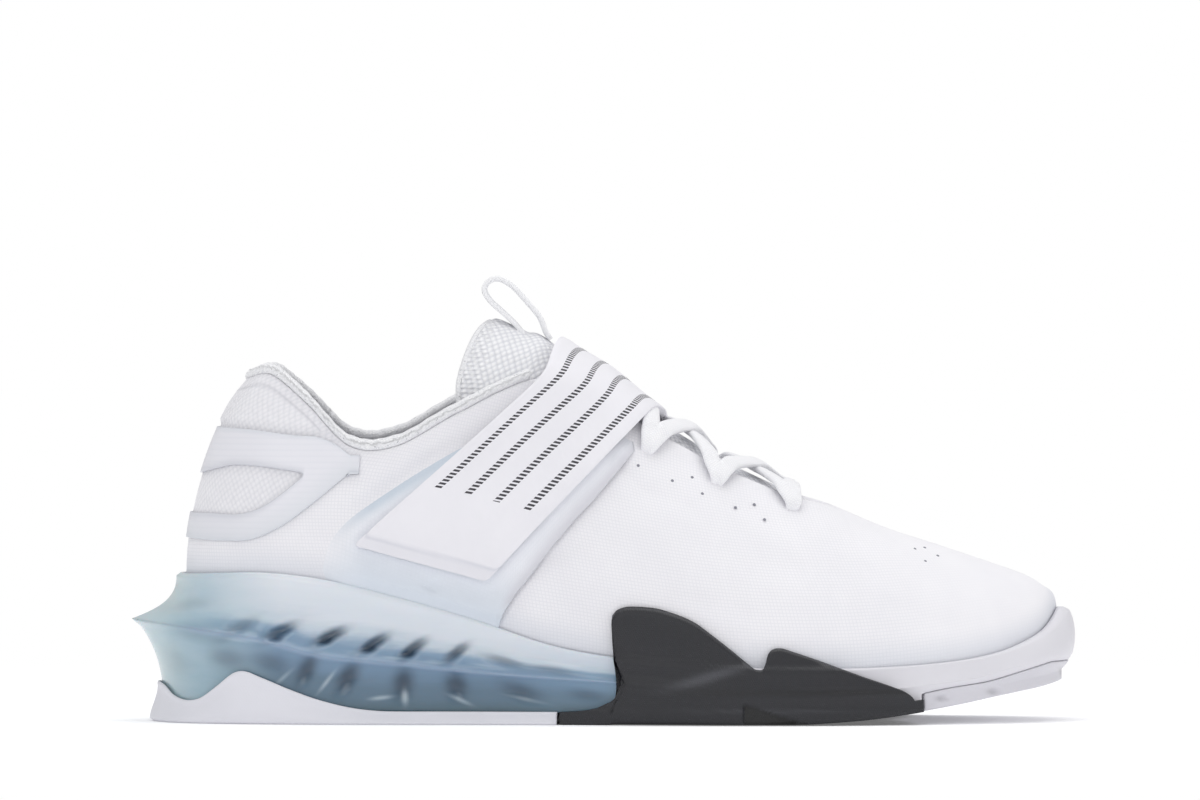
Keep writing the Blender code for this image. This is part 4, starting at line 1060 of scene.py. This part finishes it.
def loopPlace(a, b):
    route = np.array(loopRoute) * (lengthStep, collarStep)
    k = a * (len(route) - 1)
    x, z = (spline(route[:, j], k, True) for j in (0, 1))
    centre = stack(x, 0 * x, z)
    along = unit(np.gradient(centre, axis=0))
    across = stack(along[..., 2], 0 * x, -along[..., 0])
    angle = b * math.tau
    c, n = np.cos(angle), np.sin(angle)
    flat = np.sign(c) * np.abs(c) ** 0.28
    thick = np.sign(n) * np.abs(n) ** 0.5
    wide = loop["width"] / 2 * (1 - 0.1 * np.exp(-(((a - 0.42) / 0.12) ** 2)))
    cup = 0.35 * mm * (flat**2) * np.sin(a * math.pi)
    sideways = stack(0 * x, flat * wide, 0 * x)
    return centre + sideways + across * (thick * loop["thickness"] / 2 - cup)[..., None]


def tapeFinish(name, turn):
    f = Finish(name, tone(240, 240, 244), 0.6, Sheen_Weight=0.2)
    v = f.surface(turn=turn)
    twill = f.math("MULTIPLY", f.bands(v, "X", 0.55), f.bands(v, "Y", 0.9))
    f.paint(f.mix(twill, tone(246, 246, 248), tone(236, 237, 241)))
    f.bump(twill, 0.25, 0.0002)
    return f


piece = sheetOf("pullTape", 130, 32, loopPlace, closed=True)
dress(piece, tapeFinish("loop tape", 0.7), "pull_loop", "pull_loop")


# Lace: flat braid crossing over the tongue, with ends that dip into the upper on both sides
lace = {
    "rows": (8.6, 9.75, 11.15),
    "share": 0.86,
    "width": 5.9 * mm,
    "thickness": 2.5 * mm,
}


def laceRoute(start, end, over):
    # Middle line of one crossing from the outer side to the inner one, and its lean
    half = (0.4, 0.75, 1.0, 1.2, 1.36, 1.46, 1.5, 1.5)
    steps = np.array([-step for step in reversed(half)] + [0] + list(half))
    t = start + (end - start) * (steps + 1.5) / 3
    f = np.clip(steps, -1, 1)
    side = np.where(steps < 0, -1.0, 1.0)
    v = 1 + (lace["share"] - 1) * np.clip(np.abs(steps) - 1, 0, 0.5) * 2
    rise = lace["thickness"] / 2 + 2.0 * shoe["gap"]
    hump = rise + over * np.exp(-((f / 0.45) ** 2)) + shoe["gap"] * 2 * np.abs(f)
    deck = bridge(t, f, hump)
    flank = lifted(side, t, v, 0 * t + rise + shoe["gap"])
    points = np.where((np.abs(steps) <= 1)[:, None], deck, flank)
    lean = np.where((np.abs(steps) <= 1)[:, None], bridgeNormal(t, f), normal(side, t, v))
    for k, dive, slide in ((0, 4.6, 0.0), (1, 2.2, 0.25), (2, 0.5, 0.1)):
        for index in (k, len(steps) - 1 - k):
            points[index] -= lean[index] * dive * mm
    tail = unit(points[3] - points[4])
    head = unit(points[-4] - points[-5])
    for index, along in ((0, tail), (1, tail), (-1, head), (-2, head)):
        lean[index] = lean[index] + along * 1.6
    return points, unit(lean)


def laceFinish():
    f = Finish("lace braid", tone(240, 240, 244), 0.8, Sheen_Weight=0.3)
    left, right = f.surface(turn=0.62), f.surface(turn=-0.62)
    braid = f.math("MULTIPLY", f.bands(left, "X", 0.8), f.bands(right, "X", 0.8))
    f.paint(f.mix(braid, tone(238, 238, 242), tone(250, 250, 251)))
    f.bump(braid, 0.45, 0.0003)
    return f


braid = laceFinish()
eyeRows = lace["rows"]
crossings = [(eyeRows[-1], eyeRows[-1], 0.4 * mm), (eyeRows[0], eyeRows[0], 0.0)]
for near, far in zip(eyeRows, eyeRows[1:]):
    crossings += [(near, far, 1.9 * mm), (far, near, 0.0)]
for k, (start, end, over) in enumerate(crossings):
    route, lean = laceRoute(start, end, over)
    run = tubeOf(f"lace.{k}", route, lace["width"], lace["thickness"], lean, 130, 22, 2.3, 0.4)
    dress(run, braid, "lace", *(["lace"] if k == 0 else []))


# Small punched holes in the forefoot's fabric, shown as dark discs on both sides: length and height in mm
pinholes = (
    (158.4, 86.7), (161.3, 81.6), (172.1, 76.8), (178.4, 77.8), (181.6, 72.7), (192.1, 68.3),
    (198.1, 69.2), (201.3, 64.5), (246.1, 53.3), (249.2, 54.9), (252.4, 55.2), (252.4, 51.1),
    (256.5, 52.7),
)


def makePinholes():
    bm = bmesh.new()
    x, z = (np.array(pinholes)[:, j] * mm for j in (0, 1))
    for side in sides.values():
        t, v = spot(side, x, z)
        away = normal(side, t, v)
        places = toFrame(skin(side, t, v) + away * 0.03 * mm)
        for place, direction in zip(places, away):
            turn = Vector(direction).to_track_quat("Z", "Y").to_matrix().to_4x4()
            matrix = Matrix.Translation(Vector(place)) @ turn
            bmesh.ops.create_cone(
                bm, cap_ends=True, segments=16, radius1=0.52 * mm, radius2=0.46 * mm,
                depth=0.16 * mm, matrix=matrix,
            )
    mesh = bpy.data.meshes.new("pinholes")
    bm.to_mesh(mesh)
    bm.free()
    return objectOf("pinholes", mesh)


def shadowFinish():
    f = Finish("pinhole shadow", tone(120, 121, 132), 0.9)
    cloud = f.noise(f.solid((300, 300, 300)), 2.0)
    f.paint(f.mix(cloud, tone(112, 113, 124), tone(150, 151, 160)))
    return f


dress(makePinholes(), shadowFinish(), "upper")


# Insole seen through the collar
def insolePlace(a, b):
    inset = shoe["wall"] + 2 * shoe["gap"]
    side = np.where(b < 0.5, -1.0, 1.0)
    t = toe * a
    half = np.where(b < 0.5, b, 1 - b) * 2  # 0 to 1 over the outside, from under to the top middle
    low = feather(side, t)[..., 2]
    thick = 4.0 * mm
    share = np.clip(half / 0.35, 0, 1)
    overShare = np.clip((1 - half) / 0.45, 0, 1)
    bottom = shareUnder(side, t, share * 0.97, lambda x: board(x) + shoe["gap"])
    dish = 0.9 * mm * (1 - overShare**2) * (1 - ramp(8, 11, t))
    topFace = shareUnder(side, t, overShare * 0.97, lambda x: board(x) + shoe["gap"] + thick)
    topFace[..., 2] -= dish
    wallShare = np.clip((half - 0.35) / 0.2, 0, 1)
    swell = np.sin(wallShare * math.pi) * 0.4 * mm
    edge = feather(side, t) - outward(side, t) * (inset - swell)[..., None]
    edge[..., 2] = low + thick * wallShare
    points = np.where((half > 0.55)[..., None], topFace, edge)
    return np.where((half < 0.35)[..., None], bottom, points)


def liningFinish():
    f = Finish("insole cloth", tone(226, 226, 230), 0.92, Sheen_Weight=0.3)
    v = f.solid()
    weave = f.math("MULTIPLY", f.bands(v, "X", 1.1), f.bands(v, "Y", 0.9))
    f.paint(f.mix(weave, tone(208, 209, 214), tone(232, 232, 236)))
    f.bump(weave, 0.7, 0.0003)
    return f


piece = sheetOf("insolePad", 120, 70, insolePlace, closed=True)
dress(piece, liningFinish(), "insole", "insole")


# Soft hollows in the blue sole's side: length, height, half length and half height in mm,
# lean in degrees, depth in mm, and how much painted shade each gets
hollows = (
    (34.5, 30.2, 6.5, 2.0, 28, 1.2, 0.4),
    (47.5, 29.0, 6.0, 1.7, 26, 2.6, 0.75),
    (63.8, 27.8, 5.4, 1.6, 24, 2.8, 0.9),
    (77.6, 25.4, 5.0, 1.6, 30, 2.8, 0.9),
    (90.0, 23.8, 4.8, 1.6, 34, 2.6, 0.9),
    (103.6, 22.4, 4.6, 1.5, 36, 2.2, 0.8),
    (118.5, 20.0, 6.5, 1.3, -16, 1.3, 0.5),
    (134.0, 17.2, 8.0, 1.2, -8, 0.8, 0.4),
    (46.5, 26.6, 2.4, 0.9, 10, 0.8, 0.6),
    (62.4, 26.0, 2.2, 0.9, 10, 0.8, 0.7),
    (76.4, 23.6, 2.2, 0.9, 6, 0.8, 0.7),
    (88.8, 22.0, 2.2, 0.9, 4, 0.8, 0.7),
    (31.0, 21.0, 6.0, 3.0, -10, 0.5, 0.45),
    (45.0, 20.0, 6.0, 2.6, -12, 0.6, 0.5),
    (56.5, 17.6, 2.6, 5.0, -32, 1.5, 0.9),
    (69.5, 15.0, 2.8, 5.2, -34, 1.6, 0.95),
    (87.0, 13.2, 3.2, 4.6, -12, 1.5, 0.95),
    (103.8, 12.4, 3.4, 4.0, 26, 1.4, 0.9),
    (124.0, 10.6, 6.5, 2.4, -16, 0.8, 0.6),
    (145.0, 9.4, 6.0, 1.8, -8, 0.4, 0.45),
    (17.0, 37.0, 9.0, 2.0, 10, 0.3, 0.22),
    (22.0, 28.5, 9.0, 2.6, -12, 0.4, 0.3),
    (14.0, 20.0, 4.0, 5.0, 30, 0.3, 0.25),
)
# Painted highlights: paler spots in the same columns
glints = (
    (63.0, 13.6, 4.0, 0.6, 52, 0, 0.8), (80.0, 8.4, 3.4, 0.6, 6, 0, 0.9),
    (87.6, 8.6, 1.0, 2.4, 4, 0, 0.9), (105.0, 7.8, 3.6, 0.6, -24, 0, 0.8),
    (126.0, 8.0, 6.0, 0.5, -12, 0, 0.4), (49.0, 14.6, 3.6, 0.6, 42, 0, 0.5),
    (72.0, 22.6, 3.4, 0.4, -6, 0, 0.5), (84.0, 21.0, 3.4, 0.4, -6, 0, 0.5),
    (97.0, 19.8, 4.0, 0.4, -6, 0, 0.5), (112.0, 18.8, 3.0, 0.4, -8, 0, 0.4),
    (36.0, 26.6, 6.0, 0.4, -6, 0, 0.5),
)


def blots(points, rows, column):
    x, z = points[..., 0] / mm, points[..., 2] / mm
    total = np.zeros(x.shape)
    for row in rows:
        turn = math.radians(row[4])
        along = (x - row[0]) * math.cos(turn) + (z - row[1]) * math.sin(turn)
        across = -(x - row[0]) * math.sin(turn) + (z - row[1]) * math.cos(turn)
        total += row[column] * np.exp(-(((along / row[2]) ** 2 + (across / row[3]) ** 2) ** 1.2))
    return total


soleSplit = {"wedgeEnd": 8.35, "foamStart": 8.40}


def soleSection(side, t, g):
    # Half a section from the spine under the sole (g 0), up the side and back along the board (g 1)
    floor = shareUnder(side, t, np.clip(g / 0.1, 0, 1) * 0.96, soleFloor)
    share = np.clip((g - 0.1) / 0.6, 0, 1) * 2
    z, reach = sideReach(side, t, share)
    wallPoint = beside(side, t, z, reach)
    rim, foot = soleRim(side, t), board(lastX(t))
    down = np.clip((g - 0.72) / 0.14, 0, 1)
    inner = beside(side, t, rim + (foot - rim) * down, 1.8 * shoe["gap"] + 0 * t)
    topFace = shareUnder(side, t, np.clip((1 - g) / 0.12, 0, 1) * 0.98, board)
    points = np.where((g < 0.1)[..., None], floor, wallPoint)
    points = np.where((g > 0.71)[..., None], inner, points)
    points = np.where((g > 0.87)[..., None], topFace, points)
    onWall = (g >= 0.1) & (g <= 0.7)
    return points, onWall, share


def solePlace(first, final, shape):
    def place(a, b):
        side = np.where(b < 0.5, -1.0, 1.0)
        g = np.where(b < 0.5, b, 1 - b) * 2
        t = first + (final - first) * a
        points, onWall, share = soleSection(side, t, g)
        out = outward(side, t)
        lift, values = shape(points, side, t, share)
        lift = lift * onWall
        return points + out * lift[..., None], values

    return place


def blueShape(points, side, t, share):
    ends = 1 - ramp(8.0, soleSplit["wedgeEnd"], t)
    dent = blots(points, hollows, 5) * mm
    dent = np.minimum(dent, 3.2 * mm) * ramp(0.05, 0.3, share) * (1 - ramp(1.75, 1.95, share))
    ridge = 0.5 * mm * np.exp(-(((share - 1) / 0.05) ** 2)) * (1 - ramp(7.6, 8.3, t)) * ramp(1.2, 2.2, t)
    fin = 1 - ramp(0.6, 2.0, t)
    return ridge - dent * ends, {
        # dark: painted shade in the hollows
        "dark": np.clip(blots(points, hollows, 6), 0, 1),
        # glint: painted highlights
        "glint": np.clip(blots(points, glints, 6), 0, 1),
        "fin": fin,
        # ridge: painted highlight along the ridge
        "ridge": np.exp(-(((share - 1) / 0.045) ** 2)) * ramp(1.0, 2.0, t),
        # above: painted shade in a band above the ridge
        "above": np.exp(-(((share - 1.13) / 0.1) ** 2)) * ramp(1.4, 2.4, t),
        "share": share,
    }


def blueFinish():
    f = Finish(
        "clear blue sole", tone(130, 155, 180), 0.28, Coat_Weight=0.35, Coat_Roughness=0.18,
        Subsurface_Weight=0.12, Subsurface_Scale=0.006,
    )
    parts = f.tree.nodes.new("ShaderNodeSeparateXYZ")
    f.tree.links.new(f.solid(), parts.inputs[0])
    x = parts.outputs[0]
    streaks = f.noise(f.solid((22, 60, 150), (0, math.radians(8), 0)), 1.0, 4.0)
    height = f.math("MULTIPLY_ADD", f.math("SUBTRACT", streaks, 0.5), 0.5, f.value("share"))
    # Colour by height on the side, darker toward the floor and paler at the rim: partly the sole's blue,
    # partly painted shade low down
    steps = (
        (0.0, (78, 104, 118)), (0.45, (88, 114, 134)), (0.95, (108, 136, 162)), (1.2, (136, 161, 185)),
        (1.4, (196, 207, 217)), (1.6, (214, 219, 227)), (2.0, (221, 224, 231)),
    )
    colour = tone(*steps[0][1])
    for (low, _), (high, shade) in zip(steps, steps[1:]):
        part = f.add("MapRange", {0: height, 1: low, 2: high}, interpolation_type="SMOOTHSTEP")
        colour = f.mix(part, colour, tone(*shade))
    heel = f.add("MapRange", {0: x, 1: -102.0, 2: -126.0})
    milky = f.mix(streaks, tone(146, 178, 194), tone(184, 204, 212))
    colour = f.mix(f.math("MULTIPLY", heel, 0.75), colour, milky)
    forward = f.add("MapRange", {0: x, 1: -30.0, 2: 15.0})
    colour = f.mix(f.math("MULTIPLY", forward, 0.3), colour, tone(140, 176, 202))
    # Painted shade in a band above the ridge
    colour = f.veil(colour, "above", 0.35, (100, 130, 158))
    # Painted shade in the hollows
    colour = f.veil(colour, "dark", 0.95, (42, 60, 80))
    # Painted highlight along the ridge
    colour = f.veil(colour, "ridge", 0.55, (152, 172, 198))
    colour = f.veil(colour, "fin", 0.4, (198, 214, 212))
    # Painted highlights in the clear sole
    f.paint(f.veil(colour, "glint", 0.45, (216, 230, 238)))
    f.bump(streaks, 0.3, 0.0012)
    return f


piece = sheetOf("blueWedge", 300, 220, solePlace(0, soleSplit["wedgeEnd"], blueShape), closed=True)
dress(piece, blueFinish(), "midsole", "midsole")


# White foam under the forefoot and up round the toe; its dimples have the columns of the hollows
dimples = (
    (256.3, 8.3, 1.6, 1.0, 0, 0.9, 0.6), (272.8, 10.2, 1.6, 1.0, 0, 0.9, 0.6),
    (296.2, 15.0, 0.8, 2.0, 20, 0.7, 0.6),
)
toeTray = {
    "start": 83.5, "end": 97.5, "thickness": 1.5 * mm, "lip": 1.0, "flush": True, "hasGrooves": False,
}


def toeLip(side, x):
    return line("toeLip", x)


def trayTop(side, t, tops, thickness):
    # Height of a tray's lip, read where its outer face comes out
    x = lastX(t)
    low = under(x) + shoe["outsole"]
    outerX = x + outward(side, t)[..., 0] * (wallReach(side, t, low + 0.004) + thickness)
    return np.maximum(tops(side, outerX), low + 0.8 * mm)


def foamShape(points, side, t, share):
    x, z = points[..., 0] / mm, points[..., 2] / mm
    lift = -blots(points, dimples, 5) * mm
    lipZ = trayTop(side, t, toeLip, toeTray["thickness"]) / mm
    near = ramp(249.6, 250.4, lastX(t) / mm)
    above = z - lipZ
    rabbet = (toeTray["thickness"] + shoe["gap"]) * (1 - ramp(-0.1, 0.25, above)) * near
    roll = 0.45 * mm * np.exp(-np.clip(above, 0, None) / 0.8) * near
    # Painted shade in the dimples and just above the toe rubber's lip
    dark = blots(points, dimples, 6) + 0.4 * np.exp(-((above / 0.8) ** 2)) * near
    return lift - np.maximum(rabbet, roll), {"dark": np.clip(dark, 0, 1)}


def foamFinish(name, shade):
    f = Finish(name, tone(*shade), 0.5, Coat_Weight=0.05)
    pale = f.clouded(70, tuple(value - 8 for value in shade), shade)
    # Painted shade where the foam is marked dark
    f.paint(f.veil(pale, "dark", 0.5, (176, 178, 188)))
    f.bump(f.noise(f.solid(), 1.4, 2.0), 0.18, 0.00012)
    return f


foamPlace = solePlace(soleSplit["foamStart"], toe, foamShape)
piece = sheetOf("whiteFoam", 260, 160, foamPlace, closed=True)
dress(piece, foamFinish("white foam", (222, 221, 227)), "forefoot_midsole", "forefoot_midsole")


# Outsoles: trays whose edge turns up round the midsole; start and end in percent of the length
heelTray = {
    "start": 7.0, "end": 45.5, "thickness": 2.4 * mm, "lip": 0.25, "flush": False, "hasGrooves": False,
}
wrapTray = {
    "start": 45.8, "end": 83.1, "thickness": 1.7 * mm, "lip": 0.95, "flush": False, "hasGrooves": True,
}
tread = {"grooves": (57.0, 65.2, 72.6), "width": 3.4 * mm, "depth": 1.4 * mm}


def stationAt(percent):
    return float(bisect(lambda t: lastX(t) > percent * lengthStep, (), 0.0, float(toe)))


def trayPlace(tray, tops, relief=None, marks=None, slide=None):
    start, end = stationAt(tray["start"]), stationAt(tray["end"])
    thickness, lip, flush = tray["thickness"], tray["lip"], tray["flush"]

    def place(a, b):
        side = np.where(b < 0.5, -1.0, 1.0)
        g = np.where(b < 0.5, b, 1 - b) * 2
        t = start + (end - start) * a
        x = lastX(t)
        lift = np.zeros(x.shape)
        if tray["hasGrooves"]:
            for centre in tread["grooves"]:
                near = np.abs(x - centre * lengthStep)
                within = 1 - ramp(0.12, 0.165, g)
                lift += tread["depth"] * (1 - ramp(tread["width"] * 0.4, tread["width"] * 0.6, near)) * within
        low = under(x) + shoe["outsole"]
        bottomZ = under(x) + lift
        high = trayTop(side, t, tops, thickness)
        heel = 1 - ramp(1.0, 3.0, t)
        rise = np.clip((g - 0.18) / 0.34, 0, 1)
        bottom = shareUnder(side, t, np.clip(g / 0.18, 0, 1) * 0.97, under)
        bottom[..., 2] += lift
        curl = np.clip(rise / 0.08, 0, 1)
        z = bottomZ + (high - bottomZ) * rise
        lipRound = 1 - (0.2 if flush else 0.75) * np.clip((rise - 0.965) / 0.035, 0, 1) ** 2
        lipRound = lipRound * (1 - (1 - lip) * ramp(0.1, 0.9, rise)) + 0.5 * heel * (1 - rise) ** 1.5
        extra = thickness * (0.35 + 0.65 * np.sqrt(np.clip(curl * (2 - curl), 0, 1))) * lipRound
        if relief:
            extra = extra + relief(x, z, side, rise) * (rise > 0) * (rise < 1)
        proud = -thickness if flush else 2.5 * shoe["gap"]
        outer = beside(side, t, z, wallReach(side, t, z) + proud + extra)
        fall = np.clip((g - 0.55) / 0.29, 0, 1)
        zIn = high + (low - high) * fall
        inner = beside(side, t, zIn, wallReach(side, t, zIn) + proud)
        plateShare = np.clip((1 - g) / 0.16, 0, 1) * 0.97
        plate = shareUnder(side, t, plateShare, lambda x: under(x) + shoe["outsole"])
        points = np.where((g < 0.18)[..., None], bottom, outer)
        points = np.where((g > 0.54)[..., None], inner, points)
        points = np.where((g > 0.845)[..., None], plate, points)
        if slide:
            points[..., 0] += slide(points)
        # Painted shade and painted highlights, for trays with marks
        dark, shine = marks(points) if marks else (0 * x, 0 * x)
        return points, {"dark": dark, "shine": shine}

    return place


def rubberFinish(name, shade, rough, ribPitch, ribDepth, gloss=0.0):
    f = Finish(name, tone(*shade), rough, Coat_Weight=gloss, Coat_Roughness=0.3)
    cloud = f.noise(f.solid((45, 45, 45)), 1.0)
    darker = tuple(max(value - 9, 0) for value in shade)
    pale = f.mix(cloud, tone(*darker), tone(*shade))
    left, right = (f.bands(f.solid(turn=(0, turn, 0)), "X", ribPitch) for turn in (0.5, -0.5))
    ribs = f.math("MULTIPLY", left, right)
    lighter = tone(*(min(value + 16, 255) for value in shade))
    ribbed = f.mix(f.math("MULTIPLY", ribs, ribDepth * 0.7), pale, lighter)
    # The colour of painted shade where a tray marks it dark
    deep = tuple(value * (0.4 if gloss else 0.8) for value in shade)
    # Painted highlights where the tray marks shine
    if gloss:
        ribbed = f.veil(ribbed, "shine", 0.6, (92, 93, 100))
    f.paint(f.mix(f.value("dark"), ribbed, tone(*deep)))
    f.bump(ribs, ribDepth, 0.00018)
    f.bump(cloud, 0.2, 0.0006)
    return f


whiteRubber = rubberFinish("white rubber", (226, 226, 233), 0.42, 0.9, 0.05)
toeRubber = rubberFinish("toe rubber", (212, 211, 218), 0.45, 0.9, 0.05)
heelShape = trayPlace(heelTray, lambda side, x: line("flange", x))
piece = sheetOf("heelRubber", 220, 120, heelShape, closed=True)
dress(piece, whiteRubber, "heel_outsole", "heel_outsole")


def wrapTop(side, x):
    return np.where(side < 0, line("lateralWrap", x), line("medialWrap", x))


def wrapSlide(points):
    # The rear edge swings forward above the floor
    x, z = points[..., 0] / mm, points[..., 2] / mm
    return 3.8 * mm * np.exp(-(((z - 12.8) / 4.6) ** 2)) * (1 - ramp(153.4, 166, x)) * ramp(148, 152, x)


def wrapNotch(x, z):
    # How much a low, pointed notch under the ball takes away
    return ramp(194, 195.2, x) * (1 - ramp(-0.4, 0.4, z - 6.3 + 0.33 * (x - 196)))


def wrapMarks(points):
    x, z = points[..., 0] / mm, points[..., 2] / mm
    # Painted shade in the crease and the notch, and a darker patch near the tip, on the outer side only
    crease = 0.5 * np.exp(-(((z - 10.4) / 0.8) ** 2)) * ramp(160, 185, x)
    tip = ramp(232, 240, x) * ramp(-0.5, 0.5, z - 17.5 + 0.42 * (x - 232))
    dark = np.clip(wrapNotch(x, z) + crease + 0.8 * tip, 0, 1) * (points[..., 1] < 0)
    # Painted highlights: a streak along the side and one low above the floor
    return dark, blots(points, ((183, 15.2, 12, 1.6, 16, 0, 0.8), (205, 4.6, 24, 0.6, 0, 0, 0.35)), 6)


def wrapRelief(x, z, side, rise):
    # A crease along the side, a lip above the floor, and the notch
    xm, zm = x / mm, z / mm
    crease = -0.45 * np.exp(-(((zm - 10.2 - 0.02 * (xm - 190)) / 0.7) ** 2)) * ramp(150, 165, xm)
    lip = 0.35 * (1 - ramp(4.6, 5.2, zm)) * ramp(140, 150, xm)
    notch = -1.2 * wrapNotch(xm, zm) * (side < 0)
    swell = 0.35 * np.exp(-(((xm - 172) / 9) ** 2) - ((zm - 24) / 7) ** 2)
    return (crease + lip + notch + swell) * mm


darkRubber = rubberFinish("dark rubber", (25, 26, 33), 0.4, 0.62, 0.5, 0.12)
wrapShape = trayPlace(wrapTray, wrapTop, wrapRelief, wrapMarks, wrapSlide)
piece = sheetOf("forefootRubber", 360, 150, wrapShape, closed=True)
dress(piece, darkRubber, "forefoot_outsole", "forefoot_outsole")


def toeRelief(x, z, side, rise):
    return -blots(stack(x, 0 * x, z), dimples, 5) * mm


def toeMarks(points):
    # Painted shade in the dimples
    return np.clip(blots(points, dimples, 6), 0, 1), 0 * points[..., 0]


toeShape = trayPlace(toeTray, toeLip, toeRelief, toeMarks)
piece = sheetOf("toeRubber", 160, 110, toeShape, closed=True)
dress(piece, toeRubber, "toe_outsole", "toe_outsole")


# Pale floor, soft lights, and the photograph's camera
studio = {
    "floorHalf": 9.0, "target": (-0.0008, 0, 0.102), "distance": 4.5, "elevation": 0.7, "lens": 424.0,
    "sky": 0.6,
}


def makeFloor():
    bm = bmesh.new()
    bmesh.ops.create_grid(bm, x_segments=12, y_segments=12, size=studio["floorHalf"])
    mesh = bpy.data.meshes.new("floor")
    bm.to_mesh(mesh)
    bm.free()
    return objectOf("floor", mesh)


def floorFinish():
    # Lit near the shoe, and as white as the backdrop further off
    f = Finish("pale floor", tone(250, 250, 252), 0.9, Specular_IOR_Level=0.0)
    away = f.add("VectorMath", {0: f.solid()}, out=1, operation="LENGTH")
    far = f.add("MapRange", {0: away, 1: 240.0, 2: 620.0}, interpolation_type="SMOOTHSTEP")
    near = f.clouded(4, (249, 249, 251), (252, 252, 253))
    f.paint(f.mix(far, near, tone(0, 0, 0)))
    glow = f.math("MULTIPLY_ADD", far, 0.86, 0.14)
    f.put(f.shader, {"Emission Color": (1, 1, 1, 1), "Emission Strength": glow})
    return f


floor = makeFloor()
floor.data.materials.append(floorFinish().material)


def addLight(name, place, aim, size, power):
    data = bpy.data.lights.new(name, "AREA")
    data.shape = "RECTANGLE"
    data.size, data.size_y = size
    data.energy = power
    light = objectOf(name, data)
    light.location = place
    light.rotation_euler = (Vector(aim) - Vector(place)).to_track_quat("-Z", "Y").to_euler()


addLight("overhead", (0, 0.1, 1.7), (0, 0, 0), (1.8, 1.6), 14)
addLight("front", (-0.7, -1.8, 1.0), (0, 0, 0.06), (1.2, 1.0), 5)
addLight("side", (1.6, -0.6, 0.7), (0.05, 0, 0.06), (0.8, 1.0), 3)

world = bpy.data.worlds.new("studio")
bpy.context.scene.world = world
world.use_nodes = True
sky = world.node_tree.nodes["Background"]
sky.inputs["Color"].default_value = (1, 1, 1, 1)
sight = world.node_tree.nodes.new("ShaderNodeLightPath")
strength = world.node_tree.nodes.new("ShaderNodeMapRange")
strength.inputs["To Min"].default_value = studio["sky"]
strength.inputs["To Max"].default_value = 1.0
world.node_tree.links.new(sight.outputs["Is Camera Ray"], strength.inputs["Value"])
world.node_tree.links.new(strength.outputs[0], sky.inputs["Strength"])
bpy.context.scene.view_settings.view_transform = "Standard"

camera = objectOf("camera", bpy.data.cameras.new("camera"))
lean = math.radians(studio["elevation"])
target = Vector(studio["target"])
camera.location = target + Vector((0, -math.cos(lean), math.sin(lean))) * studio["distance"]
camera.rotation_euler = (math.pi / 2 - lean, 0, 0)
camera.data.lens = studio["lens"]
camera.data.sensor_width = 36
camera.data.clip_end = 30
bpy.context.scene.camera = camera
print("studio set")
